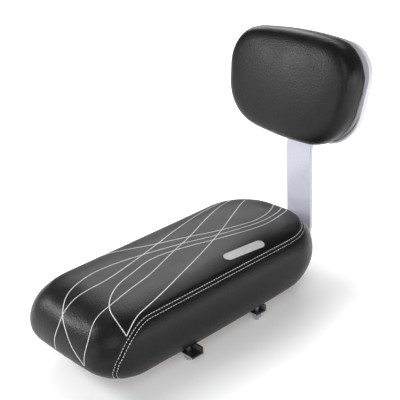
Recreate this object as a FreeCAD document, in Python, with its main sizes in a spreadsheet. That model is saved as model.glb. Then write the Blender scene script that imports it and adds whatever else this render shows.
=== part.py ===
import FreeCAD, Part
import math
import os
import Sketcher
from FreeCAD import Placement, Rotation, Vector

doc = FreeCAD.newDocument("RearRackSeat")

# Driving sizes in millimetres and degrees.
SIZES = [
    ("seat_length", 356.0),
    ("seat_width", 160.0),
    ("seat_height", 75.4),
    ("front_corner", 39.0),
    ("rear_corner", 66.0),
    ("cover_thickness", 1.2),
    ("seam_height", 64.9),
    ("seam_inset", 9.0),
    ("bottom_inset", 13.0),
    ("front_roll", 32.0),
    ("front_tuck", 32.0),
    ("crown_inset", 46.0),
    ("seam_corner_setback", 9.0),
    ("seam_foot_setback", 30.0),
    ("seam_front_round", 30.0),
    ("hem_width", 16.0),
    ("board_thickness", 8.0),
    ("board_margin", 0.6),
    ("foam_relief", 5.0),
    ("fit_clearance", 0.3),
    ("thread_clearance", 0.05),
    ("bolt_radius", 3.0),
    ("bolt_hole_radius", 3.3),
    ("washer_radius", 6.0),
    ("washer_thickness", 1.2),
    ("nut_flats", 10.0),
    ("nut_height", 5.0),
    ("bolt_head_height", 4.0),
    ("mushroom_radius", 5.6),
    ("mushroom_height", 3.2),
    ("neck_side", 6.0),
    ("neck_depth", 4.0),
    ("bolt_end_spare", 4.0),
    ("clamp_front_x", 51.0),
    ("clamp_rear_x", -58.5),
    ("clamp_bolt_side", 20.5),
    ("plate_width", 17.0),
    ("plate_gauge", 2.2),
    ("plate_tab_drop", 10.0),
    ("plate_well_drop", 16.0),
    ("plate_step_spare", 1.5),
    ("plate_step_run", 7.0),
    ("front_plate_side", 5.0),
    ("rear_plate_side", 13.0),
    ("plate_flange_height", 6.0),
    ("plate_flange_lead", 4.5),
    ("strap_width", 40.0),
    ("strap_gauge", 5.0),
    ("strap_foot_setback", 96.0),
    ("strap_gap", 25.0),
    ("strap_bend_radius", 40.0),
    ("strap_head_bend", 60.0),
    ("strap_head_rise", 34.0),
    ("strap_end_round", 8.0),
    ("strap_edge_round", 0.9),
    ("strap_bolt_front_setback", 80.0),
    ("strap_bolt_rear_setback", 38.0),
    ("strap_bolt_length", 16.0),
    ("tee_flange_radius", 8.5),
    ("tee_flange_thickness", 1.2),
    ("tee_barrel_radius", 4.0),
    ("tee_barrel_length", 6.0),
    ("back_setback", 33.2),
    ("back_z", 217.3),
    ("back_tilt", 12.2),
    ("back_top", 66.0),
    ("back_bottom", 62.0),
    ("back_half", 93.5),
    ("back_taper", 6.0),
    ("back_top_arc", 520.0),
    ("back_top_corner", 40.0),
    ("back_bottom_corner", 46.0),
    ("pad_depth", 38.0),
    ("pad_rear_inset", 5.0),
    ("back_board_thickness", 6.0),
    ("shell_depth", 10.0),
    ("shell_wall", 2.2),
    ("shell_inset", -1.5),
    ("shell_lowering", 3.0),
    ("shell_edge_round", 4.0),
    ("boss_radius", 7.0),
    ("back_bolt_low", -28.0),
    ("back_bolt_high", 20.0),
    ("back_bolt_length", 24.0),
]
sheet = doc.addObject("Spreadsheet::Sheet", "Sizes")
for row, (name, value) in enumerate(SIZES, start=1):
    sheet.set("A%d" % row, name)
    sheet.set("B%d" % row, str(value))
    sheet.setAlias("B%d" % row, name)
doc.recompute()


def size(text):
    """Write words for sizes as references to the sheet."""
    out = []
    for word in text.split():
        known = word.lstrip("-(").rstrip(")")
        if known in NAMES:
            word = word.replace(known, "Sizes." + known)
        out.append(word)
    return " ".join(out)


NAMES = set(name for name, value in SIZES)


def plane_of(body, role):
    """Find one origin plane of a body."""
    for feature in body.Origin.OriginFeatures:
        if feature.Role == role:
            return feature
    raise ValueError(role)


def new_body(name):
    """Start a body under a name of its own."""
    body = doc.addObject("PartDesign::Body", name)
    body.Label = name
    return body


def new_sketch(body, name, role, level):
    """Put a sketch on one of the body's planes, moved along its normal."""
    sketch = body.newObject("Sketcher::SketchObject", name)
    sketch.AttachmentSupport = (plane_of(body, role), [""])
    sketch.MapMode = "FlatFace"
    sketch.setExpression("AttachmentOffset.Base.z", size(level))
    return sketch


def drive(sketch, label, text, *constraint):
    """Add a measured constraint and bind it to the sheet."""
    index = sketch.addConstraint(Sketcher.Constraint(*constraint))
    sketch.renameConstraint(index, label)
    sketch.setExpression("Constraints." + label, size(text))


def arc(cx, cy, radius, start, end):
    """Arc of a circle between two angles in degrees."""
    circle = Part.Circle(Vector(cx, cy, 0), Vector(0, 0, 1), radius)
    return Part.ArcOfCircle(circle, math.radians(start), math.radians(end))


def line(ax, ay, bx, by):
    return Part.LineSegment(Vector(ax, ay, 0), Vector(bx, by, 0))


def ring_of_tangents(sketch, count):
    """Join neighbours end to start with tangency all the way round."""
    for i in range(count):
        sketch.addConstraint(Sketcher.Constraint("Tangent", i, 2, (i + 1) % count, 1))


def seat_outline(body, name, level, front, rear, half, share):
    """Plan outline of the seat at one level, with small front and large rear corners."""
    sketch = new_sketch(body, name, "XY_Plane", level)
    sketch.addGeometry([
        line(160, -40, 160, 40),
        arc(130, 40, 30, 0, 90),
        line(130, 70, -110, 70),
        arc(-110, 20, 50, 90, 180),
        line(-160, 20, -160, -20),
        arc(-110, -20, 50, 180, 270),
        line(-110, -70, 130, -70),
        arc(130, -40, 30, 270, 360),
    ], False)
    ring_of_tangents(sketch, 8)
    sketch.addConstraint(Sketcher.Constraint("Vertical", 0))
    sketch.addConstraint(Sketcher.Constraint("Horizontal", 2))
    sketch.addConstraint(Sketcher.Constraint("Vertical", 4))
    sketch.addConstraint(Sketcher.Constraint("Horizontal", 6))
    sketch.addConstraint(Sketcher.Constraint("Equal", 1, 7))
    sketch.addConstraint(Sketcher.Constraint("Equal", 3, 5))
    drive(sketch, "front", front, "DistanceX", -1, 1, 0, 1, 160.0)
    drive(sketch, "rear", rear, "DistanceX", 4, 1, -1, 1, 160.0)
    drive(sketch, "left", half, "DistanceY", -1, 1, 2, 1, 70.0)
    drive(sketch, "right", half, "DistanceY", 6, 1, -1, 1, 70.0)
    drive(sketch, "front_round", "front_corner * ( " + share + " )", "Radius", 1, 30.0)
    drive(sketch, "rear_round", "rear_corner * ( " + share + " )", "Radius", 3, 50.0)
    return sketch


def back_outline(body, name, level, inset, lowering):
    """Outline of the backrest at one depth: arched top, slanting sides, round corners."""
    sketch = new_sketch(body, name, "YZ_Plane", level)
    top = 66.0
    sketch.addGeometry([
        arc(0, top - 520.0, 520.0, 84.6, 95.4),
        arc(-50, 22, 40, 95.4, 174),
        line(-90, 26, -82, -20),
        arc(-40, -16, 46, 186, 270),
        line(-40, -62, 40, -62),
        arc(40, -16, 46, 270, 354),
        line(82, -20, 90, 26),
        arc(50, 22, 40, 6, 84.6),
    ], False)
    ring_of_tangents(sketch, 8)
    sketch.addConstraint(Sketcher.Constraint("PointOnObject", 0, 3, -2))
    sketch.addConstraint(Sketcher.Constraint("Horizontal", 4))
    sketch.addConstraint(Sketcher.Constraint("Symmetric", 6, 2, 2, 1, -2))
    sketch.addConstraint(Sketcher.Constraint("Symmetric", 6, 1, 2, 2, -2))
    drive(sketch, "arch", "back_top_arc - " + inset, "Radius", 0, 520.0)
    drive(sketch, "arch_centre", "back_top_arc - back_top + " + lowering,
          "DistanceY", 0, 3, -1, 1, 454.0)
    drive(sketch, "top_round", "back_top_corner - 0.55 * " + inset, "Radius", 7, 40.0)
    drive(sketch, "bottom_round", "back_bottom_corner - 0.55 * " + inset, "Radius", 5, 46.0)
    drive(sketch, "bottom", "back_bottom - " + inset, "DistanceY", 4, 1, -1, 1, 62.0)
    drive(sketch, "lean", "90 - back_taper", "Angle", 6, math.radians(84.0))
    drive(sketch, "half", "back_half - " + inset, "Distance", -1, 1, 6, 86.0)
    return sketch


def loft(body, name, sections):
    """Smooth skin over outlines in order."""
    feature = body.newObject("PartDesign::AdditiveLoft", name)
    feature.Profile = sections[0]
    feature.Sections = sections[1:]
    feature.Ruled = False
    feature.Closed = False
    return feature


def pad(body, sketch, name, length, midplane=False, reverse=False):
    feature = body.newObject("PartDesign::Pad", name)
    feature.Profile = sketch
    feature.Midplane = midplane
    feature.Reversed = reverse
    feature.setExpression("Length", size(length))
    return feature


def pocket(body, sketch, name, length, midplane=False, reverse=False):
    feature = body.newObject("PartDesign::Pocket", name)
    feature.Profile = sketch
    feature.Midplane = midplane
    feature.Reversed = reverse
    feature.setExpression("Length", size(length))
    return feature


def at(thing, x, y, z):
    """Bind the position of a solid."""
    thing.setExpression("Placement.Base.x", size(x))
    thing.setExpression("Placement.Base.y", size(y))
    thing.setExpression("Placement.Base.z", size(z))
    return thing


def cylinder(name, radius, height, x, y, z, along_x=False):
    """Round bar standing on a point, upright or lying forward."""
    thing = doc.addObject("Part::Cylinder", name)
    if along_x:
        thing.Placement = Placement(Vector(0, 0, 0), Rotation(Vector(0, 1, 0), 90))
    thing.setExpression("Radius", size(radius))
    thing.setExpression("Height", size(height))
    return at(thing, x, y, z)


def hexagon(name, flats, height, x, y, z, along_x=False):
    """Six-sided bar given by its width across flats."""
    thing = doc.addObject("Part::Prism", name)
    thing.Polygon = 6
    if along_x:
        thing.Placement = Placement(Vector(0, 0, 0), Rotation(Vector(0, 1, 0), 90))
    thing.setExpression("Circumradius", size(flats) + " / sqrt(3)")
    thing.setExpression("Height", size(height))
    return at(thing, x, y, z)


def box(name, length, width, height, x, y, z):
    thing = doc.addObject("Part::Box", name)
    thing.setExpression("Length", size(length))
    thing.setExpression("Width", size(width))
    thing.setExpression("Height", size(height))
    return at(thing, x, y, z)


def cut(name, base, tool):
    thing = doc.addObject("Part::Cut", name)
    thing.Base = base
    thing.Tool = tool
    return thing


def common(name, base, tool):
    thing = doc.addObject("Part::Common", name)
    thing.Base = base
    thing.Tool = tool
    return thing


def fuse(name, shapes):
    thing = doc.addObject("Part::MultiFuse", name)
    thing.Shapes = shapes
    return thing


def group(name, members):
    thing = doc.addObject("Part::Compound", name)
    thing.Links = members
    return thing


# Seat cushion forms: level, front inset, side inset, rear inset. The flank bulges, tucks in
# at the bottom and meets the top panel in a crease at the seam; the front rolls over.
FLANK = [
    ("0", "front_tuck", "bottom_inset", "bottom_inset"),
    ("0.12 * seat_height", "0.45 * front_tuck", "0.45 * bottom_inset", "0.45 * bottom_inset"),
    ("0.28 * seat_height", "0.1 * front_tuck", "0.1 * bottom_inset", "0.1 * bottom_inset"),
    ("0.45 * seat_height", "0", "0", "0"),
    ("0.68 * seat_height", "0.19 * front_roll", "0.38 * seam_inset", "0.38 * seam_inset"),
    ("seam_height", "0.55 * front_roll", "seam_inset", "seam_inset"),
]
CROWN = [
    ("seam_height", "0.55 * front_roll", "seam_inset", "seam_inset"),
    ("0.55 * seat_height + 0.45 * seam_height", "0.95 * front_roll",
     "0.78 * seam_inset + 0.22 * crown_inset", "0.78 * seam_inset + 0.22 * crown_inset"),
    ("0.87 * seat_height + 0.13 * seam_height", "1.45 * front_roll",
     "0.45 * seam_inset + 0.55 * crown_inset", "0.45 * seam_inset + 0.55 * crown_inset"),
    ("seat_height", "0.55 * front_roll + crown_inset", "crown_inset", "crown_inset"),
]


def cushion_form(name, skin, lift_flank, lift_crown):
    """Whole cushion volume, inset by a skin allowance."""
    body = new_body(name)
    for part, levels, lift in (("flank", FLANK, lift_flank), ("crown", CROWN, lift_crown)):
        rows = []
        for i, (level, front, side, rear) in enumerate(levels):
            height = level
            if i == 0 and part == "flank":
                height = lift
            elif i == len(levels) - 1 and part == "flank":
                height = level + " - " + lift_crown
            elif part == "crown":
                height = level + " - " + lift_crown
            inset = "( " + side + " + " + skin + " )"
            rows.append(seat_outline(
                body, name + "_" + part + "_%d" % i, height,
                "seat_length / 2 - ( " + front + " + " + skin + " )",
                "seat_length / 2 - ( " + rear + " + " + skin + " )",
                "seat_width / 2 - " + inset,
                "1 - 2 * " + inset + " / seat_width"))
        doc.recompute()
        loft(body, name + "_" + part, rows)
        doc.recompute()
    return body


cover_form = cushion_form("cover_form", "0", "-1 * cover_thickness", "0")
foam_form = cushion_form("foam_form", "cover_thickness", "0", "cover_thickness")

# Window in the turned-under hem, with a notch where the backrest strap comes in.
hem_window = new_body("hem_window")
hem_inset = "( bottom_inset + hem_width )"
window_plan = seat_outline(
    hem_window, "hem_window_plan", "-2 * cover_thickness",
    "seat_length / 2 - front_tuck - hem_width",
    "seat_length / 2 - " + hem_inset,
    "seat_width / 2 - " + hem_inset,
    "1 - 2 * " + hem_inset + " / seat_width")
pad(hem_window, window_plan, "hem_window_pad", "2 * cover_thickness")
strap_notch = box(
    "strap_notch", "seat_length / 4", "strap_width + 2 * fit_clearance", "2 * cover_thickness",
    "-0.5 * seat_length", "-0.5 * strap_width - fit_clearance", "-2 * cover_thickness")

# Bolts of the clamp plates stand in from the seat's sides, those of the strap in from its rear.
BOLT_Y = "( seat_width / 2 - clamp_bolt_side )"
CLAMP_POINTS = [
    ("fl", "clamp_front_x", BOLT_Y),
    ("fr", "clamp_front_x", "-1 * " + BOLT_Y),
    ("rl", "clamp_rear_x", BOLT_Y),
    ("rr", "clamp_rear_x", "-1 * " + BOLT_Y),
]
STRAP_POINTS = [
    ("front", "-1 * ( seat_length / 2 - strap_bolt_front_setback )"),
    ("rear", "-1 * ( seat_length / 2 - strap_bolt_rear_setback )"),
]

hem_tools = [hem_window, strap_notch]
for mark, x, y in CLAMP_POINTS:
    hem_tools.append(cylinder(
        "hem_hole_" + mark, "bolt_hole_radius + fit_clearance", "4 * cover_thickness",
        x, y, "-3 * cover_thickness"))
hem_tool = fuse("hem_tool", hem_tools)
cover_wall = cut("cover_wall", cover_form, foam_form)
cover_skin = cut("cover_skin", cover_wall, hem_tool)

# Side view of the seam: level along the flank, then turning down the front corner.
band_form = new_body("band_form")
seam = new_sketch(band_form, "band_side_view", "XZ_Plane", "0")
seam.addGeometry([
    line(-230, 67, 140, 67),
    arc(140, 37, 30, -20, 90),
    line(170, 30, 150, -20),
    line(150, -20, -230, -20),
    line(-230, -20, -230, 67),
], False)
seam.addConstraint(Sketcher.Constraint("Tangent", 0, 2, 1, 2))
seam.addConstraint(Sketcher.Constraint("Tangent", 1, 1, 2, 1))
seam.addConstraint(Sketcher.Constraint("Coincident", 2, 2, 3, 1))
seam.addConstraint(Sketcher.Constraint("Coincident", 3, 2, 4, 1))
seam.addConstraint(Sketcher.Constraint("Coincident", 4, 2, 0, 1))
seam.addConstraint(Sketcher.Constraint("Horizontal", 0))
seam.addConstraint(Sketcher.Constraint("Horizontal", 3))
seam.addConstraint(Sketcher.Constraint("Vertical", 4))
drive(seam, "level", "seam_height", "DistanceY", -1, 1, 0, 1, 67.0)
drive(seam, "under", "seat_height / 4", "DistanceY", 3, 1, -1, 1, 20.0)
drive(seam, "behind", "seat_length", "DistanceX", 4, 1, -1, 1, 230.0)
drive(seam, "round", "seam_front_round", "Radius", 1, 30.0)
drive(seam, "slant", "-90 deg - atan2( seam_foot_setback - seam_corner_setback ; seam_height )",
      "Angle", 2, math.radians(-112.0))
drive(seam, "foot",
      "seat_length / 2 - seam_foot_setback"
      " - seat_height / 4 * ( seam_foot_setback - seam_corner_setback ) / seam_height",
      "DistanceX", -1, 1, 2, 2, 150.0)
pad(band_form, seam, "band_pad", "2 * seat_width", midplane=True)

seat_side_band = common("seat_side_band", cover_skin, band_form)
seat_top_panel = cut("seat_top_panel", cover_skin, band_form)

# Base board under the foam, drilled for the clamp bolts and for the threaded inserts of the strap.
board_blank = new_body("board_blank")
board_inset = "( bottom_inset + cover_thickness + board_margin )"
board_plan = seat_outline(
    board_blank, "board_plan", "0",
    "seat_length / 2 - ( front_tuck + cover_thickness + board_margin )",
    "seat_length / 2 - " + board_inset,
    "seat_width / 2 - " + board_inset,
    "1 - 2 * " + board_inset + " / seat_width")
pad(board_blank, board_plan, "board_pad", "board_thickness")

board_tools = []
foam_tools = [board_blank]
for mark, x, y in CLAMP_POINTS:
    board_tools.append(cylinder(
        "board_hole_" + mark, "bolt_hole_radius", "2 * board_thickness",
        x, y, "-0.5 * board_thickness"))
    board_tools.append(box(
        "neck_hole_" + mark, "neck_side + 2 * fit_clearance", "neck_side + 2 * fit_clearance",
        "2 * neck_depth", x + " - neck_side / 2 - fit_clearance",
        y + " - neck_side / 2 - fit_clearance", "board_thickness - neck_depth"))
    foam_tools.append(cylinder(
        "head_relief_" + mark, "mushroom_radius + 1", "foam_relief", x, y, "board_thickness"))
for mark, x in STRAP_POINTS:
    board_tools.append(cylinder(
        "insert_hole_" + mark, "tee_barrel_radius + thread_clearance", "2 * board_thickness",
        x, "0", "-0.5 * board_thickness"))
    foam_tools.append(cylinder(
        "insert_relief_" + mark, "tee_flange_radius + 1", "foam_relief", x, "0", "board_thickness"))
seat_base_board = cut("seat_base_board", board_blank, fuse("board_tool", board_tools))
seat_foam = cut("seat_foam", foam_form, fuse("foam_tool", foam_tools))

# Clamp hardware: mushroom bolts through the board, washers and nuts under the plates.
under_tab = "plate_tab_drop + plate_gauge"
bolts = []
washers = []
nuts = []
for mark, x, y in CLAMP_POINTS:
    tail = under_tab + " + washer_thickness + nut_height + bolt_end_spare"
    shank = cylinder("clamp_shank_" + mark, "bolt_radius", tail + " + board_thickness", x, y,
                     "-1 * ( " + tail + " )")
    neck = box("clamp_neck_" + mark, "neck_side", "neck_side", "neck_depth",
               x + " - neck_side / 2", y + " - neck_side / 2", "board_thickness - neck_depth")
    head = doc.addObject("Part::Cone", "clamp_head_" + mark)
    head.setExpression("Radius1", size("mushroom_radius"))
    head.setExpression("Radius2", size("0.5 * mushroom_radius"))
    head.setExpression("Height", size("mushroom_height"))
    at(head, x, y, "board_thickness")
    bolts.append(fuse("clamp_bolt_" + mark, [shank, neck, head]))
    disc = cylinder("washer_disc_" + mark, "washer_radius", "washer_thickness", x, y,
                    "-1 * ( " + under_tab + " + washer_thickness )")
    bore = cylinder("washer_bore_" + mark, "bolt_hole_radius", "3 * washer_thickness", x, y,
                    "-1 * ( " + under_tab + " + 2 * washer_thickness )")
    washers.append(cut("clamp_washer_" + mark, disc, bore))
    block = hexagon("nut_block_" + mark, "nut_flats", "nut_height", x, y,
                    "-1 * ( " + under_tab + " + washer_thickness + nut_height )")
    thread = cylinder("nut_bore_" + mark, "bolt_radius + thread_clearance", "3 * nut_height", x, y,
                      "-1 * ( " + under_tab + " + washer_thickness + 2 * nut_height )")
    nuts.append(cut("clamp_nut_" + mark, block, thread))
clamp_bolts = group("clamp_bolts", bolts)
clamp_washers = group("clamp_washers", washers)
clamp_nuts = group("clamp_nuts", nuts)


def polygon(sketch, corners, first=0):
    """Closed line loop with every corner measured from the origin."""
    count = len(corners)
    for i in range(count):
        ax, ay = corners[i][2:]
        bx, by = corners[(i + 1) % count][2:]
        sketch.addGeometry(line(ax, ay, bx, by), False)
    for i in range(count):
        sketch.addConstraint(Sketcher.Constraint(
            "Coincident", first + i, 2, first + (i + 1) % count, 1))
    for i, (across, up, x, y) in enumerate(corners):
        drive(sketch, "across_%d" % (first + i), across, "DistanceX", -1, 1, first + i, 1, x)
        drive(sketch, "up_%d" % (first + i), up, "DistanceY", -1, 1, first + i, 1, y)


def clamp_plate(name, x, half):
    """Pressed strip: flat tabs at the ends, a lowered middle and stiffening flanges."""
    body = new_body(name + "_strip")
    profile = new_sketch(body, name + "_profile", "YZ_Plane", x)
    step = "plate_gauge * tan( atan2( plate_well_drop - plate_tab_drop ; plate_step_run ) / 2 )"
    step_outer = "( " + BOLT_Y + " - washer_radius - plate_step_spare )"
    step_inner = "( " + step_outer + " - plate_step_run )"
    flange_start = "( " + BOLT_Y + " - plate_flange_lead )"
    upper = [(half, "plate_tab_drop", 70, 10), (step_outer, "plate_tab_drop", 53, 10),
             (step_inner, "plate_well_drop", 46, 16)]
    lower = [(step_inner + " + " + step, "plate_well_drop + plate_gauge", 47, 18),
             (step_outer + " + " + step, "plate_tab_drop + plate_gauge", 54, 12),
             (half, "plate_tab_drop + plate_gauge", 70, 12)]
    corners = []
    for across, down, y, z in upper:
        corners.append((across, "-1 * ( " + down + " )", y, -z))
    for across, down, y, z in reversed(upper):
        corners.append(("-1 * ( " + across + " )", "-1 * ( " + down + " )", -y, -z))
    for across, down, y, z in reversed(lower):
        corners.append(("-1 * ( " + across + " )", "-1 * ( " + down + " )", -y, -z))
    for across, down, y, z in lower:
        corners.append((across, "-1 * ( " + down + " )", y, -z))
    polygon(profile, corners)
    pad(body, profile, name + "_pad", "plate_width", midplane=True)
    edge = x + " - plate_width / 2"
    flange = new_sketch(body, name + "_flange_plan", "XY_Plane",
                        "-1 * ( plate_tab_drop + plate_gauge )")
    for i, sign in enumerate(("", "-1 * ")):
        way = 1 - 2 * i
        polygon(flange, [
            (edge, sign + flange_start, 40, 64 * way),
            (edge + " + plate_gauge", sign + flange_start, 43, 64 * way),
            (edge + " + plate_gauge", sign + half, 43, 70 * way),
            (edge, sign + half, 40, 70 * way),
        ], first=4 * i)
    pad(body, flange, name + "_flange", "plate_gauge + plate_flange_height")
    holes = []
    for mark, way in (("left", ""), ("right", "-1 * ")):
        holes.append(cylinder(name + "_hole_" + mark, "bolt_hole_radius", "4 * plate_gauge", x,
                              way + BOLT_Y, "-1 * ( plate_tab_drop + 2.5 * plate_gauge )"))
    return cut(name, body, fuse(name + "_holes", holes))


clamp_plate_front = clamp_plate(
    "clamp_plate_front", "clamp_front_x", "( seat_width / 2 - front_plate_side )")
clamp_plate_rear = clamp_plate(
    "clamp_plate_rear", "clamp_rear_x", "( seat_width / 2 - rear_plate_side )")
doc.recompute()

# Flat bar that carries the backrest: foot under the board, round bend, upright, leaning head.
FOOT_X = "-1 * ( seat_length / 2 - strap_foot_setback )"
strap_bar = new_body("strap_bar")
path = new_sketch(strap_bar, "strap_path", "XZ_Plane", "0")
path.addGeometry([
    line(-90, -2.5, -178, -2.5),
    arc(-178, 33.5, 36, 180, 270),
    line(-214, 33.5, -214, 155),
    arc(-274, 155, 60, 0, 7.7),
    line(-214.5, 163, -227, 260),
], False)
path.addConstraint(Sketcher.Constraint("Tangent", 0, 2, 1, 2))
path.addConstraint(Sketcher.Constraint("Tangent", 1, 1, 2, 1))
path.addConstraint(Sketcher.Constraint("Tangent", 2, 2, 3, 1))
path.addConstraint(Sketcher.Constraint("Tangent", 3, 2, 4, 1))
path.addConstraint(Sketcher.Constraint("Horizontal", 0))
path.addConstraint(Sketcher.Constraint("Vertical", 2))
drive(path, "foot_x", FOOT_X, "DistanceX", -1, 1, 0, 1, -90.0)
drive(path, "foot_z", "-0.5 * strap_gauge", "DistanceY", -1, 1, 0, 1, -2.5)
drive(path, "bend_x", "-1 * ( seat_length / 2 + strap_gap + strap_gauge / 2 ) + strap_bend_radius",
      "DistanceX", -1, 1, 0, 2, -178.0)
drive(path, "bend", "strap_bend_radius", "Radius", 1, 36.0)
drive(path, "head_bend", "strap_head_bend", "Radius", 3, 60.0)
drive(path, "head_lean", "90 + back_tilt", "Angle", 4, math.radians(97.7))
drive(path, "head_x",
      "-1 * ( seat_length / 2 + back_setback )"
      " - ( shell_depth + strap_gauge / 2 ) * cos( 1 deg * back_tilt )"
      " - strap_head_rise * sin( 1 deg * back_tilt )",
      "DistanceX", -1, 1, 4, 2, -227.0)
drive(path, "head_z",
      "back_z - ( shell_depth + strap_gauge / 2 ) * sin( 1 deg * back_tilt )"
      " + strap_head_rise * cos( 1 deg * back_tilt )",
      "DistanceY", -1, 1, 4, 2, 260.0)
section = new_sketch(strap_bar, "strap_section", "YZ_Plane", FOOT_X)
polygon(section, [
    ("-0.5 * strap_width", "-1 * strap_gauge", -20, -5),
    ("0.5 * strap_width", "-1 * strap_gauge", 20, -5),
    ("0.5 * strap_width", "0", 20, 0),
    ("-0.5 * strap_width", "0", -20, 0),
])
doc.recompute()
sweep = strap_bar.newObject("PartDesign::AdditivePipe", "strap_sweep")
sweep.Profile = section
sweep.Spine = (path, [])
doc.recompute()
ends = []
for number, edge in enumerate(sweep.Shape.Edges, start=1):
    if abs(edge.Length - sheet.strap_gauge) < 0.01:
        ends.append("Edge%d" % number)
rounding = strap_bar.newObject("PartDesign::Fillet", "strap_rounding")
rounding.Base = (sweep, ends)
rounding.setExpression("Radius", size("strap_end_round"))
doc.recompute()
sharp = []
for number, edge in enumerate(rounding.Shape.Edges, start=1):
    middle = edge.valueAt(0.5 * (edge.FirstParameter + edge.LastParameter))
    sides = []
    for face in rounding.Shape.ancestorsOfType(edge, Part.Face):
        sides.append(face.normalAt(*face.Surface.parameter(middle)))
    if sides[0].getAngle(sides[1]) > math.radians(45):
        sharp.append("Edge%d" % number)
softened_bar = strap_bar.newObject("PartDesign::Fillet", "strap_softened")
softened_bar.Base = (rounding, sharp)
softened_bar.setExpression("Radius", size("strap_edge_round"))
doc.recompute()


def lean(thing):
    """Carry a solid of the backrest from its own upright frame to its leaning place."""
    thing.Placement = Placement(Vector(0, 0, 0), Rotation(Vector(0, 1, 0), -10))
    thing.setExpression("Placement.Base.x", size("-1 * ( seat_length / 2 + back_setback )"))
    thing.setExpression("Placement.Base.z", size("back_z"))
    thing.setExpression("Placement.Rotation.Angle", size("-1 * back_tilt"))
    return thing


BACK_POINTS = [("low", "back_bolt_low"), ("high", "back_bolt_high")]
strap_holes = []
for mark, x in STRAP_POINTS:
    strap_holes.append(cylinder("strap_hole_" + mark, "bolt_hole_radius", "4 * strap_gauge", x, "0",
                                "-2 * strap_gauge"))
head_holes = []
for mark, z in BACK_POINTS:
    head_holes.append(cylinder("head_hole_" + mark, "bolt_hole_radius", "3 * strap_gauge",
                               "-1 * shell_depth - 2 * strap_gauge", "0", z, along_x=True))
strap_holes.append(lean(group("head_holes", head_holes)))
backrest_strap = cut("backrest_strap", strap_bar, fuse("strap_tool", strap_holes))

# Strap bolts from below into threaded inserts of the base board.
bolts = []
washers = []
inserts = []
for mark, x in STRAP_POINTS:
    low = "-1 * ( strap_gauge + washer_thickness"
    disc = cylinder("strap_disc_" + mark, "washer_radius", "washer_thickness", x, "0", low + " )")
    bore = cylinder("strap_bore_" + mark, "bolt_hole_radius", "3 * washer_thickness", x, "0",
                    low + " + washer_thickness )")
    washers.append(cut("strap_washer_" + mark, disc, bore))
    head = hexagon("strap_head_" + mark, "nut_flats", "bolt_head_height", x, "0",
                   low + " + bolt_head_height )")
    shank = cylinder("strap_shank_" + mark, "bolt_radius", "strap_bolt_length", x, "0", low + " )")
    bolts.append(fuse("strap_bolt_" + mark, [head, shank]))
    flange = cylinder("insert_flange_" + mark, "tee_flange_radius", "tee_flange_thickness", x, "0",
                      "board_thickness")
    barrel = cylinder("insert_barrel_" + mark, "tee_barrel_radius", "tee_barrel_length", x, "0",
                      "board_thickness - tee_barrel_length")
    thread = cylinder("insert_bore_" + mark, "bolt_radius + thread_clearance",
                      "4 * board_thickness", x, "0", "-1 * board_thickness")
    inserts.append(cut("strap_insert_" + mark, fuse("insert_body_" + mark, [flange, barrel]), thread))
strap_bolts = group("strap_bolts", bolts)
strap_washers = group("strap_washers", washers)
strap_tee_nuts = group("strap_tee_nuts", inserts)

# Backrest pad: depth in front of the board's rear face, inset of the outline there.
PAD = [
    ("0", "pad_rear_inset", 0),
    ("0.2 * pad_depth", "0.2 * pad_rear_inset", 0),
    ("0.42 * pad_depth", "0", 0),
    ("0.63 * pad_depth", "0.05 * pad_depth", 1),
    ("0.82 * pad_depth", "0.2 * pad_depth", 1),
    ("0.94 * pad_depth", "0.45 * pad_depth", 1),
    ("pad_depth", "0.8 * pad_depth", 1),
]


def pad_form(name, skin):
    """Crowned pad volume, inset by a skin allowance."""
    body = new_body(name)
    rows = []
    for i, (level, inset, front) in enumerate(PAD):
        depth = level
        if front:
            depth = level + " - " + skin
        rows.append(back_outline(
            body, name + "_%d" % i, depth, "( " + inset + " + " + skin + " )", "0"))
    doc.recompute()
    loft(body, name + "_loft", rows)
    doc.recompute()
    return body


back_cover_form = pad_form("back_cover_form", "0")
back_foam_form = pad_form("back_foam_form", "cover_thickness")
back_cover = lean(cut("back_cover", back_cover_form, back_foam_form))

back_board_blank = new_body("back_board_blank")
back_plan = back_outline(back_board_blank, "back_board_plan", "0",
                         "( pad_rear_inset + cover_thickness + board_margin )", "0")
pad(back_board_blank, back_plan, "back_board_pad", "back_board_thickness")
board_tools = []
foam_tools = [back_board_blank]
for mark, z in BACK_POINTS:
    board_tools.append(cylinder("back_insert_hole_" + mark, "tee_barrel_radius + thread_clearance",
                                "3 * back_board_thickness", "-1 * back_board_thickness", "0", z,
                                along_x=True))
    foam_tools.append(cylinder("back_relief_" + mark, "tee_flange_radius + 1", "foam_relief",
                               "back_board_thickness", "0", z, along_x=True))
back_board = lean(cut("back_board", back_board_blank, fuse("back_board_tool", board_tools)))
back_foam = lean(cut("back_foam", back_foam_form, fuse("back_foam_tool", foam_tools)))

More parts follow.
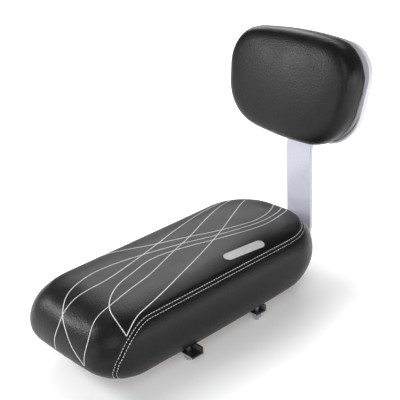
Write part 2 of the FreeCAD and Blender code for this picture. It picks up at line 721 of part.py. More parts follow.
# Rear shell: shallow tray with a rounded rim and two bolt pillars.
shell_tray = new_body("shell_tray")
outer = back_outline(shell_tray, "shell_outer", "0", "shell_inset", "shell_lowering")
pad(shell_tray, outer, "shell_pad", "shell_depth", reverse=True)
doc.recompute()
rim = []
for number, edge in enumerate(shell_tray.Tip.Shape.Edges, start=1):
    bounds = edge.BoundBox
    if bounds.XMax < -0.5 * sheet.shell_depth:
        rim.append("Edge%d" % number)
softened = shell_tray.newObject("PartDesign::Fillet", "shell_softened")
softened.Base = (shell_tray.getObject("shell_pad"), rim)
softened.setExpression("Radius", size("shell_edge_round"))
doc.recompute()
inner = back_outline(shell_tray, "shell_inner", "0", "( shell_inset + shell_wall )", "shell_lowering")
pocket(shell_tray, inner, "shell_pocket", "shell_depth - shell_wall")
doc.recompute()
pillar_plan = new_sketch(shell_tray, "pillar_plan", "YZ_Plane", "0")
for i, (mark, z) in enumerate(BACK_POINTS):
    spot = -28.0 + 48.0 * i
    pillar_plan.addGeometry(Part.Circle(Vector(0, spot, 0), Vector(0, 0, 1), 7.0), False)
    pillar_plan.addConstraint(Sketcher.Constraint("PointOnObject", i, 3, -2))
    drive(pillar_plan, "rise_%d" % i, z, "DistanceY", -1, 1, i, 3, spot)
    drive(pillar_plan, "pillar_%d" % i, "boss_radius", "Radius", i, 7.0)
pad(shell_tray, pillar_plan, "pillars", "shell_depth - 0.5 * shell_wall", reverse=True)
doc.recompute()
shell_holes = []
for mark, z in BACK_POINTS:
    shell_holes.append(cylinder("shell_hole_" + mark, "bolt_hole_radius", "3 * shell_depth",
                                "-2 * shell_depth", "0", z, along_x=True))
back_shell = lean(cut("back_shell", shell_tray, fuse("shell_tool", shell_holes)))

# Bolts of the backrest from behind the strap into threaded inserts of its board.
bolts = []
washers = []
inserts = []
for mark, z in BACK_POINTS:
    low = "-1 * ( shell_depth + strap_gauge + washer_thickness"
    disc = cylinder("back_disc_" + mark, "washer_radius", "washer_thickness", low + " )", "0", z,
                    along_x=True)
    bore = cylinder("back_bore_" + mark, "bolt_hole_radius", "3 * washer_thickness",
                    low + " + washer_thickness )", "0", z, along_x=True)
    washers.append(cut("back_washer_" + mark, disc, bore))
    head = hexagon("back_head_" + mark, "nut_flats", "bolt_head_height",
                   low + " + bolt_head_height )", "0", z, along_x=True)
    shank = cylinder("back_shank_" + mark, "bolt_radius", "back_bolt_length", low + " )", "0", z,
                     along_x=True)
    bolts.append(fuse("back_bolt_" + mark, [head, shank]))
    flange = cylinder("back_flange_" + mark, "tee_flange_radius", "tee_flange_thickness",
                      "back_board_thickness", "0", z, along_x=True)
    barrel = cylinder("back_barrel_" + mark, "tee_barrel_radius", "back_board_thickness", "0", "0", z,
                      along_x=True)
    thread = cylinder("back_thread_" + mark, "bolt_radius + thread_clearance", "4 * back_board_thickness",
                      "-1 * back_board_thickness", "0", z, along_x=True)
    inserts.append(cut("back_insert_" + mark, fuse("back_insert_body_" + mark, [flange, barrel]), thread))
back_bolts = lean(group("back_bolts", bolts))
back_washers = lean(group("back_washers", washers))
back_tee_nuts = lean(group("back_tee_nuts", inserts))
doc.recompute()

for thing in doc.Objects:
    if "Invalid" in thing.State or "Error" in thing.State:
        raise ValueError("not built: " + thing.Name)
NODES = [
    seat_base_board, seat_foam, seat_top_panel, seat_side_band,
    clamp_plate_front, clamp_plate_rear, clamp_bolts, clamp_washers, clamp_nuts,
    backrest_strap, strap_bolts, strap_washers, strap_tee_nuts,
    back_board, back_foam, back_cover, back_shell, back_bolts, back_washers, back_tee_nuts,
]
os.makedirs("parts", exist_ok=True)
for node in NODES:
    shape = node.Shape
    if shape.isNull() or not shape.isValid():
        raise ValueError("bad shape: " + node.Name)
    node.Label = node.Name
    shape.exportStep("parts/" + node.Name + ".step")
    bounds = shape.BoundBox
    corners = (bounds.XMin, bounds.XMax, bounds.YMin, bounds.YMax, bounds.ZMin, bounds.ZMax)
    print(node.Name, len(shape.Solids), round(shape.Volume), [round(v, 1) for v in corners])
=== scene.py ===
# %% [markdown]
# # A padded seat for a bicycle's rear rack
#
# The seat is a long black cushion on a hidden board, with a second cushion behind it on a bent
# flat strap. We load the solid model first, because it fixes every size and place; this file
# only adds what the solids lack: soft leather, seams, thread, printed lines and finishes.

# %% Load the solid model
import math

import bmesh
import bpy
import numpy as np
from mathutils import Matrix, Vector
from mathutils.bvhtree import BVHTree
from mathutils.kdtree import KDTree


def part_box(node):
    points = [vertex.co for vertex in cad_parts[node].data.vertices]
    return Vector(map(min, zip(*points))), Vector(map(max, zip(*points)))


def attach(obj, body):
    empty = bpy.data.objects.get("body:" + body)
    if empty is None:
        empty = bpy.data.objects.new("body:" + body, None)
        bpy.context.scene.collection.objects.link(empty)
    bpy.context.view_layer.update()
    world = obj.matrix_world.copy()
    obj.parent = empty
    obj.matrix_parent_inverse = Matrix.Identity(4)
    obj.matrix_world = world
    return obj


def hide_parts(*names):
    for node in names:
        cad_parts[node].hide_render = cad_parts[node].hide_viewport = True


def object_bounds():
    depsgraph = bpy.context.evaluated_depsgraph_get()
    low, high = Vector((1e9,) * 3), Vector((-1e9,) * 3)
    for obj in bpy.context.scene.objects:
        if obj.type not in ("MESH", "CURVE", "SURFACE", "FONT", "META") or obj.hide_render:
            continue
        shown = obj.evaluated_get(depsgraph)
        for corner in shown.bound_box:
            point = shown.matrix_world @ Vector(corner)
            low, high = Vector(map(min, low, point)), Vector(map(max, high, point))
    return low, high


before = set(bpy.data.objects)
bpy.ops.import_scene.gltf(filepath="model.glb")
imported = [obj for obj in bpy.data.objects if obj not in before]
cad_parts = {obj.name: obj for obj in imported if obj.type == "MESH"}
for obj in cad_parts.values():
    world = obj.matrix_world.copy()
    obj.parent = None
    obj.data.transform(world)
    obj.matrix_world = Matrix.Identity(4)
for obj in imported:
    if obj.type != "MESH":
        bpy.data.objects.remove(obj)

MM = 0.001
scene = bpy.context.scene
solid_low, solid_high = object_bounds()


def to_object(name, data):
    """Put a mesh, a lamp or a camera into the scene."""
    thing = bpy.data.objects.new(name, data)
    scene.collection.objects.link(thing)
    return thing


print("solids:", len(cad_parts), "low", tuple(solid_low), "high", tuple(solid_high))

# %% [markdown]
# ## Camera
#
# A product picture is taken with a long lens from above one front corner. The place, the tilt
# and the focal length below were found by laying the solids over the picture, so nothing has to
# be cropped or shifted. The three axes of the camera are written as a matrix.

# %% Camera at the picture's angle
IMAGE_SIDE = 400.0
EYE = Vector((583.27, 691.18, 555.75)) * MM
TURN, PITCH, ROLL = math.radians(48.262), math.radians(24.971), math.radians(-3.604)
FOCAL_PIXELS = 891.55
SENSOR_WIDTH = 36.0

back = Vector((math.cos(PITCH) * math.cos(TURN), math.cos(PITCH) * math.sin(TURN), math.sin(PITCH)))
level = Vector((-math.sin(TURN), math.cos(TURN), 0.0))
upright = back.cross(level)
across = math.cos(ROLL) * level + math.sin(ROLL) * upright
upward = -math.sin(ROLL) * level + math.cos(ROLL) * upright

lens = bpy.data.cameras.new("camera")
lens.sensor_width = SENSOR_WIDTH
lens.lens = FOCAL_PIXELS * SENSOR_WIDTH / IMAGE_SIDE
camera = to_object("camera", lens)
camera.matrix_world = Matrix((
    (across.x, upward.x, back.x, EYE.x),
    (across.y, upward.y, back.y, EYE.y),
    (across.z, upward.z, back.z, EYE.z),
    (0, 0, 0, 1)))
scene.camera = camera
scene.view_settings.view_transform = "Standard"
print("camera lens in mm:", round(lens.lens, 1))

# %% [markdown]
# ## Small tools for node trees
#
# Every finish and every repeated detail below is a node tree. These helpers add a node with its
# settings in one line and join two sockets, so that a tree reads from top to bottom.

# %% Node helpers
def add(tree, kind, **settings):
    """Add a node; a setting is a property of the node or the start value of one of its sockets."""
    node = tree.nodes.new(kind)
    for key, value in settings.items():
        if hasattr(node, key):
            setattr(node, key, value)
        else:
            node.inputs[key.replace("_", " ")].default_value = value
    return node


def join(tree, source, target):
    tree.links.new(source, target)


def feed(tree, shader, **sources):
    """Join patterns to sockets of a shader."""
    for key, source in sources.items():
        join(tree, source, shader.inputs[key.replace("_", " ")])


def new_finish(name):
    """Start a material: returns it, its tree, its shader and the object coordinates."""
    finish = bpy.data.materials.new(name)
    finish.use_nodes = True
    tree = finish.node_tree
    shader = tree.nodes["Principled BSDF"]
    place = add(tree, "ShaderNodeTexCoord").outputs["Object"]
    return finish, tree, shader, place


def noise(tree, place, scale, detail=3.0, roughness=0.5):
    node = add(tree, "ShaderNodeTexNoise", Scale=scale, Detail=detail, Roughness=roughness)
    join(tree, place, node.inputs["Vector"])
    return node.outputs["Fac"]


def ramp(tree, value, low, high, low_color, high_color):
    """Two-colour ramp between two values of a pattern."""
    node = add(tree, "ShaderNodeValToRGB")
    node.color_ramp.elements[0].position = low
    node.color_ramp.elements[1].position = high
    node.color_ramp.elements[0].color = (*low_color, 1.0)
    node.color_ramp.elements[1].color = (*high_color, 1.0)
    join(tree, value, node.inputs["Fac"])
    return node.outputs["Color"]


def spread(tree, value, low, high, out_low, out_high, curve="LINEAR"):
    """Map a pattern's range to a range of a socket."""
    node = add(tree, "ShaderNodeMapRange", interpolation_type=curve,
               From_Min=low, From_Max=high, To_Min=out_low, To_Max=out_high)
    join(tree, value, node.inputs["Value"])
    return node.outputs["Result"]


def reckon(tree, operation, a, b):
    """Sum on a socket and a second socket or a number."""
    node = add(tree, "ShaderNodeMath", operation=operation)
    join(tree, a, node.inputs[0])
    if isinstance(b, float):
        node.inputs[1].default_value = b
    else:
        join(tree, b, node.inputs[1])
    return node.outputs[0]


def bump(tree, height, distance, under=None):
    """Small relief, on top of another one if that is given."""
    node = add(tree, "ShaderNodeBump", Strength=1.0, Distance=distance)
    join(tree, height, node.inputs["Height"])
    if under is not None:
        join(tree, under, node.inputs["Normal"])
    return node.outputs["Normal"]


print("node helpers ready")

# %% [markdown]
# ## Floor and light
#
# The picture is a studio shot on white. The floor is a pale plane that still takes the seat's
# soft shadow; a little glow, seen only by the camera and in reflections, lifts it to white
# without putting more light on the seat. Round the seat the glow is dimmed: that is painted
# shade, which darkens the floor there and its reflection in the leather's lower sides. One broad
# lamp behind gives the grey sheen on top, and smaller ones draw the highlights on the front roll
# and on the backrest's edges.

# %% Floor
FLOOR_HEIGHT = solid_low.z
FLOOR_REACH = 100.0
# Painted shade: within SHADE_FADE of the seat's half footprint SHADE_HALF, the floor's glow drops to
# SHADE_GLOW.
SHADE_HALF = (0.16, 0.07, 1.0)
SHADE_FADE, SHADE_GLOW = 0.16, 0.2

floor_mesh = bpy.data.meshes.new("floor")
corners = [(-1, -1), (1, -1), (1, 1), (-1, 1)]
floor_mesh.from_pydata(
    [(FLOOR_REACH * x, FLOOR_REACH * y, FLOOR_HEIGHT) for x, y in corners], [], [(0, 1, 2, 3)])
floor = to_object("floor", floor_mesh)
paper = bpy.data.materials.new("studio_paper")
paper.use_nodes = True
tree = paper.node_tree
tree.nodes.clear()
matt = add(tree, "ShaderNodeBsdfDiffuse", Color=(0.82, 0.82, 0.82, 1.0))
glow = add(tree, "ShaderNodeEmission", Color=(1.0, 1.0, 1.0, 1.0))
path = add(tree, "ShaderNodeLightPath")
mirrored = reckon(tree, "MAXIMUM", path.outputs["Is Glossy Ray"], path.outputs["Is Transmission Ray"])
seen = reckon(tree, "MAXIMUM", path.outputs["Is Camera Ray"], mirrored)
spot = add(tree, "ShaderNodeTexCoord").outputs["Object"]
for operation in ("ABSOLUTE", "SUBTRACT", "MAXIMUM", "LENGTH"):
    away = add(tree, "ShaderNodeVectorMath", operation=operation)
    away.inputs[1].default_value = SHADE_HALF if operation == "SUBTRACT" else (0.0, 0.0, 0.0)
    join(tree, spot, away.inputs[0])
    spot = away.outputs[0]
# Painted shade round the seat: the glow fades from full far away to SHADE_GLOW next to the seat.
glow_with_painted_shade = spread(tree, away.outputs["Value"], 0.0, SHADE_FADE, SHADE_GLOW, 1.0, "SMOOTHSTEP")
join(tree, reckon(tree, "MULTIPLY", glow_with_painted_shade, seen), glow.inputs["Strength"])
both = add(tree, "ShaderNodeAddShader")
join(tree, matt.outputs[0], both.inputs[0])
join(tree, glow.outputs[0], both.inputs[1])
join(tree, both.outputs[0], add(tree, "ShaderNodeOutputMaterial").inputs["Surface"])
floor_mesh.materials.append(paper)
print("floor at", round(FLOOR_HEIGHT, 4))

# %% Sky and lamps
world = bpy.data.worlds.new("studio")
scene.world = world
world.use_nodes = True
sky = world.node_tree.nodes["Background"]
sky.inputs["Color"].default_value = (0.9, 0.92, 1.0, 1.0)
sky.inputs["Strength"].default_value = 0.15
CENTRE = Vector((-0.05, 0.0, 0.12))
LAMP_DISTANCE = 1.6


def lamp(name, turn, rise, width, height, power, distance=LAMP_DISTANCE):
    """Soft lamp on a sphere round the seat: turn from the nose, rise above the floor."""
    light = bpy.data.lights.new(name, "AREA")
    light.shape = "RECTANGLE"
    light.size = width
    light.size_y = height
    light.energy = power
    thing = to_object(name, light)
    turn, rise = math.radians(turn), math.radians(rise)
    aim = Vector((math.cos(rise) * math.cos(turn), math.cos(rise) * math.sin(turn), math.sin(rise)))
    thing.location = CENTRE + distance * aim
    thing.rotation_euler = (-aim).to_track_quat("-Z", "Y").to_euler()
    thing.visible_camera = False


lamp("lamp_behind", -128, 32, 1.0, 0.7, 11.0)
lamp("lamp_high", -165, 50, 0.6, 0.6, 5.0)
lamp("lamp_key", -44, 24, 0.2, 0.2, 4.0, 0.8)
lamp("lamp_low", -38, 4, 0.6, 0.3, 1.6)
lamp("lamp_strip", -7, 9, 0.12, 0.5, 4.0)
lamp("lamp_side", 121, 2, 0.7, 0.3, 5.0)
lamp("lamp_right", 85, 8, 0.5, 0.3, 6.0)
lamp("lamp_fill", 42, 36, 0.8, 0.8, 9.0)

# %% [markdown]
# ## Leather
#
# The covers are black synthetic leather: a tight pebble grain of nearly 2 millimetres, a soft
# sheen and slightly uneven gloss. The grain is a cell pattern turned into bump, so it keeps its
# scale on every panel, and noise of several sizes varies colour and roughness.

# %% Leather finish
def leather(name, depth):
    finish, tree, shader, place = new_finish(name)
    cells = add(tree, "ShaderNodeTexVoronoi", feature="SMOOTH_F1", Scale=560.0, Smoothness=0.35)
    warp = add(tree, "ShaderNodeVectorMath", operation="MULTIPLY_ADD")
    drift = add(tree, "ShaderNodeTexNoise", Scale=260.0)
    join(tree, place, drift.inputs["Vector"])
    join(tree, drift.outputs["Color"], warp.inputs[0])
    warp.inputs[1].default_value = (0.0011, 0.0011, 0.0011)
    join(tree, place, warp.inputs[2])
    join(tree, warp.outputs[0], cells.inputs["Vector"])
    soft = noise(tree, place, 38.0, 4.0, 0.55)
    fine = noise(tree, place, 1900.0, 2.0, 0.6)
    grain = bump(tree, cells.outputs["Distance"], 0.0002 * depth)
    pores = bump(tree, fine, 0.00006 * depth, under=grain)
    color = ramp(tree, soft, 0.3, 0.75, (0.006, 0.006, 0.0062), (0.010, 0.010, 0.0102))
    feed(tree, shader, Base_Color=color, Roughness=spread(tree, soft, 0.3, 0.7, 0.33, 0.40), Normal=pores)
    shader.inputs["Specular IOR Level"].default_value = 0.18
    return finish


seat_leather = leather("seat_leather", 1.0)
back_leather = leather("back_leather", 0.8)
print("leather finishes ready")

# %% [markdown]
# ## Shapes that follow a rule
#
# Both cushions are stacks of rounded outlines, like contour lines on a map. A table gives a few
# levels, a smooth curve through the table gives as many as the mesh needs, and neighbouring
# outlines are joined by quads. This is the same rule that the solids follow.

# %% Stacking outlines
def smooth_table(rows, count):
    """Catmull-Rom curve through table rows, with the given number of points."""
    rows = np.array(rows, float)
    ends = np.vstack([2 * rows[0] - rows[1], rows, 2 * rows[-1] - rows[-2]])
    spans = len(rows) - 1
    out = []
    for s in np.linspace(0, spans, count):
        i = min(int(s), spans - 1)
        t = s - i
        a, b, c, d = ends[i:i + 4]
        out.append(0.5 * (2 * b + (c - a) * t + (2 * a - 5 * b + 4 * c - d) * t * t
                          + (3 * b - a - 3 * c + d) * t ** 3))
    return np.array(out)


def smooth_path(marks, step):
    """Smooth curve through uneven marks, with points about one step apart."""
    p = np.array(marks, float)
    t = np.r_[0.0, np.cumsum(np.linalg.norm(np.diff(p, axis=0), axis=1) ** 0.6)]
    slope = np.gradient(p, t, axis=0)
    out = []
    for i in range(len(p) - 1):
        h = t[i + 1] - t[i]
        count = max(2, int(np.linalg.norm(p[i + 1] - p[i]) / step))
        for s in np.linspace(0, 1, count, endpoint=False):
            out.append((2 * s ** 3 - 3 * s ** 2 + 1) * p[i] + (s ** 3 - 2 * s ** 2 + s) * h * slope[i]
                       + (3 * s ** 2 - 2 * s ** 3) * p[i + 1] + (s ** 3 - s ** 2) * h * slope[i + 1])
    return np.array(out + [p[-1]])


def calm(points, rounds):
    """Even out small steps of an open path; its ends stay."""
    p = np.array(points, float)
    for i in range(rounds):
        p[1:-1] = 0.25 * p[:-2] + 0.5 * p[1:-1] + 0.25 * p[2:]
    return p


def bow(centre, radius, start, end, count):
    """Points on an arc, angles in degrees, without the last one."""
    angles = np.radians(np.linspace(start, end, count, endpoint=False))
    return np.c_[centre[0] + radius * np.cos(angles), centre[1] + radius * np.sin(angles)]


def run(a, b, count):
    """Points on a straight run, without the last one."""
    return np.linspace(a, b, count, endpoint=False)


def stack(name, loops):
    """Closed mesh from equal loops of points: quads between neighbours, caps at both ends."""
    count = len(loops[0])
    mesh = bpy.data.meshes.new(name)
    verts = np.vstack(loops)
    faces = []
    for i in range(len(loops) - 1):
        for j in range(count):
            k = (j + 1) % count
            faces.append((i * count + j, i * count + k, (i + 1) * count + k, (i + 1) * count + j))
    faces.append(tuple(reversed(range(count))))
    last = (len(loops) - 1) * count
    faces.append(tuple(last + j for j in range(count)))
    mesh.from_pydata(verts.tolist(), [], faces)
    return mesh


def settle(thing):
    """Turn an object with modifiers into a plain mesh object of the same name."""
    done = bpy.data.meshes.new_from_object(thing.evaluated_get(bpy.context.evaluated_depsgraph_get()))
    name = thing.name
    old = thing.data
    bpy.data.objects.remove(thing)
    if old.users == 0:
        bpy.data.meshes.remove(old)
    done.name = name
    return to_object(name, done)


def even_out(thing, grid):
    """Rebuild a closed form from even quads."""
    remesh = thing.modifiers.new("even", "REMESH")
    remesh.mode = "VOXEL"
    remesh.voxel_size = grid
    return settle(thing)


def points_of(mesh):
    flat = np.zeros(len(mesh.vertices) * 3)
    mesh.vertices.foreach_get("co", flat)
    return flat.reshape(-1, 3)


def move_points(mesh, points):
    mesh.vertices.foreach_set("co", np.asarray(points, float).ravel())
    mesh.update()


print("stacking tools ready")

# %% [markdown]
# ## Soft filling
#
# Foam under a tight cover pushes the leather out between the places where it is held. A short
# cloth run with inner pressure gives that: the side at the board is pinned as if stapled, and
# so is the seam; gravity is off, and each point may move only a few millimetres, evened out
# with its neighbours, so the form keeps its size.

# %% Cloth run
PUFF_FRAMES = 20


def soften(moves, mesh, rounds):
    """Average each point's move with those of its neighbours."""
    ends = np.zeros(2 * len(mesh.edges), int)
    mesh.edges.foreach_get("vertices", ends)
    a, b = ends[0::2], ends[1::2]
    count = np.bincount(ends, minlength=len(moves))[:, None]
    for i in range(rounds):
        total = np.zeros_like(moves)
        np.add.at(total, a, moves[b])
        np.add.at(total, b, moves[a])
        moves = 0.5 * (moves + total / count)
    return moves


def puff(thing, held, pressure, cap, rounds):
    """Blow a closed form up a little; held points stay. Returns a plain mesh object."""
    before = points_of(thing.data)
    group = thing.vertex_groups.new(name="held")
    group.add([int(i) for i in np.flatnonzero(held)], 1.0, "REPLACE")
    cloth = thing.modifiers.new("puff", "CLOTH")
    rules = cloth.settings
    rules.use_pressure = True
    rules.uniform_pressure_force = pressure
    rules.effector_weights.gravity = 0.0
    rules.vertex_group_mass = "held"
    rules.tension_stiffness = 40.0
    rules.compression_stiffness = 40.0
    rules.bending_stiffness = 6.0
    cloth.point_cache.frame_start = 1
    cloth.point_cache.frame_end = PUFF_FRAMES
    for number in range(1, PUFF_FRAMES + 1):
        scene.frame_set(number)
    thing = settle(thing)
    scene.frame_set(1)
    step = points_of(thing.data) - before
    length = np.linalg.norm(step, axis=1, keepdims=True)
    step *= np.minimum(1.0, cap / np.maximum(length, 1e-9))
    step = soften(step, thing.data, rounds)
    move_points(thing.data, before + step)
    thing.vertex_groups.clear()
    print(thing.name, "puffed, mean move mm", round(float(np.linalg.norm(step, axis=1).mean()) / MM, 2))
    return thing


def finer(thing, rounds):
    """Even out the grid's small steps, subdivide once and keep the result as a plain mesh."""
    ease = thing.modifiers.new("ease", "SMOOTH")
    ease.factor = 0.5
    ease.iterations = rounds
    smooth = thing.modifiers.new("finer", "SUBSURF")
    smooth.levels = 1
    smooth.render_levels = 1
    return settle(thing)


print("cloth frames:", PUFF_FRAMES)

# %% [markdown]
# ## Seat cushion form
#
# Seen from the side the seat rolls over at the front and tucks under; its flanks bulge and lean
# in to the seam. Each row of the tables holds a height and how far the outline is drawn in at
# the front and at the sides. The form starts a little small, because the cloth run swells it.

# %% Seat form
SEAT_HALF_LENGTH, SEAT_HALF_WIDTH = 178.0, 80.0
FRONT_CORNER, REAR_CORNER = 34.0, 66.0
SEAM_HEIGHT = 64.9
FLANK_ROWS = [(-1.2, 32.0, 13.0), (9.0, 14.4, 5.85), (21.0, 3.2, 0.6), (34.0, 0.0, -1.8),
              (46.0, 3.6, -1.4), (55.0, 8.4, 1.2), (61.0, 13.4, 4.8), (64.9, 17.6, 8.8)]
CROWN_ROWS = [(64.9, 17.6, 8.8), (68.6, 23.6, 10.4), (71.2, 30.4, 12.8), (73.0, 39.0, 16.4),
              (74.0, 49.0, 23.0), (74.4, 63.6, 40.0)]
SKIN = 1.2
START_SMALL, SHRINK_START, SHRINK_SPAN = 1.2, 30.0, 45.0
NOSE_BOW, NOSE_BOW_START, NOSE_BOW_HALF = 2.5, 90.0, 60.0
CORNER_DROOP, BELLY_DROOP, DROOP_TOP = 5.0, 5.4, 34.0
BELLY_HALF_LENGTH, DROOP_SHIFT = 135.0, 12.0
SEAT_GRID = 4.6 * MM


def nose_share(x):
    """How far along the front part a point lies, from 0 to 1."""
    return np.clip((x - NOSE_BOW_START) / (SEAT_HALF_LENGTH - NOSE_BOW_START), 0, 1)


def seat_outline(front, side, shrink):
    """Plan outline in millimetres with small front and large rear corners."""
    share = 1.0 - (side + shrink) / SEAT_HALF_WIDTH
    rf, rr = FRONT_CORNER * share, REAR_CORNER * share
    nose = SEAT_HALF_LENGTH - front - shrink
    tail = -(SEAT_HALF_LENGTH - side - shrink)
    half = SEAT_HALF_WIDTH - side - shrink
    outline = np.vstack([
        run((nose, -half + rf), (nose, half - rf), 14),
        bow((nose - rf, half - rf), rf, 0, 90, 12),
        run((nose - rf, half), (tail + rr, half), 40),
        bow((tail + rr, half - rr), rr, 90, 180, 18),
        run((tail, half - rr), (tail, -half + rr), 4),
        bow((tail + rr, -half + rr), rr, 180, 270, 18),
        run((tail + rr, -half), (nose - rf, -half), 40),
        bow((nose - rf, -half + rf), rf, 270, 360, 12),
    ])
    outline[:, 0] += NOSE_BOW * nose_share(outline[:, 0]) * (1.0 - (outline[:, 1] / NOSE_BOW_HALF) ** 2)
    return outline


levels = np.vstack([smooth_table(FLANK_ROWS, 22)[:-1], smooth_table(CROWN_ROWS, 12)])
loops = []
for height, front, side in levels:
    flat = seat_outline(front, side, START_SMALL)
    lower = START_SMALL * max(0.0, (height - SHRINK_START) / SHRINK_SPAN)
    belly = np.clip(1.0 - (flat[:, 0] / BELLY_HALF_LENGTH) ** 2, 0, 1)
    droop = CORNER_DROOP * nose_share(flat[:, 0]) * ((flat[:, 1] - DROOP_SHIFT) / SEAT_HALF_WIDTH) ** 2
    droop += BELLY_DROOP * belly * (flat[:, 1] / SEAT_HALF_WIDTH) ** 2
    droop *= max(0.0, 1.0 - height / DROOP_TOP)
    loops.append(np.c_[flat, height - lower - droop] * MM)
seat_cushion = to_object("seat_cushion", stack("seat_cushion", loops))
seat_cushion = even_out(seat_cushion, SEAT_GRID)
print("seat form quads:", len(seat_cushion.data.polygons))

# %% Distance to the seam
SEAM_BEND = 30.0
SLANT_FOOT, SLANT_HEAD = (172.0, 0.0), (147.0, SEAM_HEIGHT)
PATH_START, PATH_SPARE = -400.0, 40.0
FRONT_TUCK = np.array(FLANK_ROWS + CROWN_ROWS[1:]) * MM


def seam_side_view():
    """Seam as points in the side view, from the rear over the bend to below the front corner."""
    run_x, run_z = SLANT_HEAD[0] - SLANT_FOOT[0], SLANT_HEAD[1] - SLANT_FOOT[1]
    size = math.hypot(run_x, run_z)
    out_x, out_z = run_z / size, -run_x / size
    centre_z = SEAM_HEIGHT - SEAM_BEND
    centre_x = SLANT_FOOT[0] + (-SEAM_BEND - centre_z * out_z) / out_x
    end = math.degrees(math.atan2(out_z, out_x))
    bend = bow((centre_x, centre_z), SEAM_BEND, 90, end, 40)
    foot = (SLANT_FOOT[0] - PATH_SPARE * run_x / size, SLANT_FOOT[1] - PATH_SPARE * run_z / size)
    return np.vstack([[(PATH_START, SEAM_HEIGHT)], bend, [foot]]) * MM


def side_distance(points, path):
    """Distance in the side view with the front tuck let out, above zero on the top panel's side."""
    p = points[:, [0, 2]].copy()
    p[:, 0] += np.interp(p[:, 1], FRONT_TUCK[:, 0], FRONT_TUCK[:, 1])
    best = np.full(len(p), 1e9)
    sign = np.ones(len(p))
    for a, b in zip(path[:-1], path[1:]):
        d = b - a
        t = np.clip(((p - a) @ d) / (d @ d), 0, 1)
        off = p - (a + t[:, None] * d)
        gap = np.linalg.norm(off, axis=1)
        side = d[0] * off[:, 1] - d[1] * off[:, 0]
        near = gap < best
        best[near] = gap[near]
        sign[near] = np.where(side[near] >= 0, 1.0, -1.0)
    return best * sign


print("seam tools ready")

# %% Fill the seat
PRESSURE = 4.0
SEAT_HOLD, SEAT_SWELL = 3.0 * MM, 1.4 * MM
spots = points_of(seat_cushion.data)
held = (spots[:, 2] < SEAT_HOLD) | (np.abs(side_distance(spots, seam_side_view())) < SEAT_HOLD)
seat_cushion = puff(seat_cushion, held, PRESSURE, SEAT_SWELL, 3)
seat_cushion = finer(seat_cushion, 4)
print("seat mesh points:", len(seat_cushion.data.vertices))

# %% [markdown]
# ## Seam of the seat
#
# The top panel runs over the front and the side band wraps the rest. Their seam is level along
# the flanks and turns down at the front corners. From the side it is a line, a bend and a
# slanting line, so each point's distance to that path tells the panel it belongs to. The mesh is
# cut along lines of equal distance, which gives clean edges for a groove and two stitch rows.

# %% Cutting a mesh along a level
def slice_along(mesh, layer, value, snap):
    """Cut faces where a point value passes a level; returns the points on that level."""
    on = set()
    for v in mesh.verts:
        if abs(v[layer] - value) < snap:
            v[layer] = value
            on.add(v)
    crossed = [f for f in mesh.faces if len(f.verts) > 3
               and min(v[layer] for v in f.verts) <= value <= max(v[layer] for v in f.verts)]
    bmesh.ops.triangulate(mesh, faces=crossed)
    for edge in list(mesh.edges):
        a, b = edge.verts
        da, db = a[layer] - value, b[layer] - value
        if da * db < 0:
            new = bmesh.utils.edge_split(edge, a, da / (da - db))[1]
            new[layer] = value
            on.add(new)
    for face in list(mesh.faces):
        hits = [v for v in face.verts if v in on]
        if len(hits) == 2 and not any(e.other_vert(hits[0]) is hits[1] for e in hits[0].link_edges):
            bmesh.utils.face_split(face, hits[0], hits[1])
    return on


def chain(points):
    """Order connected mesh points into one open path."""
    pool = set(points)
    links = {v: [e.other_vert(v) for e in v.link_edges if e.other_vert(v) in pool] for v in pool}
    ends = [v for v in pool if len(links[v]) == 1]
    start = min(ends or pool, key=lambda v: (round(v.co.y, 6), v.co.x))
    order, seen = [start], {start}
    while True:
        ahead = [v for v in links[order[-1]] if v not in seen]
        if not ahead:
            return order
        nearest = min(ahead, key=lambda v: (v.co - order[-1].co).length)
        order.append(nearest)
        seen.add(nearest)


print("seam length in side view, mm:",
      round(float(np.linalg.norm(np.diff(seam_side_view(), axis=0), axis=1)[1:].sum()) / MM))

# %% Cut and shape the seam
STITCH_OFFSET = 1.95
SEAM_LINES = [-4.5, -3.0, -STITCH_OFFSET, -1.2, -0.6, 0.6, 1.2, STITCH_OFFSET, 3.0, 4.5]
GROOVE = [(0.0, -1.6), (0.6, -0.5), (1.2, 0.0), (1.95, -0.12), (3.0, 0.12), (6.0, 0.2), (12.0, 0.0)]
SEAM_ENDS = 3.0 * MM
SEAM_SNAP, LINE_SNAP = 0.12 * MM, 0.1 * MM
FADE_START, FADE_SPAN = 1.0 * MM, 3.0 * MM

form = bmesh.new()
form.from_mesh(seat_cushion.data)
layer = form.verts.layers.float.new("seam_gap")
spots = np.array([v.co for v in form.verts])
for v, gap in zip(form.verts, side_distance(spots, seam_side_view())):
    v[layer] = gap
seam_points = slice_along(form, layer, 0.0, SEAM_SNAP)
seam_path = chain([v for v in seam_points if v.co.z > SEAM_ENDS])
tree = KDTree(4 * len(seam_path))
count = 0
for a, b in zip(seam_path[:-1], seam_path[1:]):
    for t in (0.0, 0.25, 0.5, 0.75):
        tree.insert(a.co.lerp(b.co, t), count)
        count += 1
tree.balance()
for v in form.verts:
    side = math.copysign(1.0, v[layer])
    v[layer] = 0.0 if v in seam_points else side * tree.find(v.co)[2]
for gap in SEAM_LINES:
    slice_along(form, layer, gap * MM, LINE_SNAP)
form.normal_update()
seam_skin = [(v.co.copy(), v.normal.copy()) for v in seam_path]
profile = np.array(GROOVE) * MM
shift = {}
for v in form.verts:
    rise = np.interp(abs(v[layer]), profile[:, 0], profile[:, 1])
    fade = min(1.0, max(0.0, (v.co.z - FADE_START) / FADE_SPAN))
    shift[v] = v.normal * (rise * fade)
for v, move in shift.items():
    v.co += move
form.normal_update()
print("seam path points:", len(seam_path), "faces:", len(form.faces))

# %% [markdown]
# ## Underside of the seat
#
# Below, the leather is drawn round the board's edge and stapled, so a hem about 16 mm wide shows
# with the bare board inside it. The flat bottom of the form is opened there, and a pocket for
# the board is set into it, which keeps the cushion one closed piece.

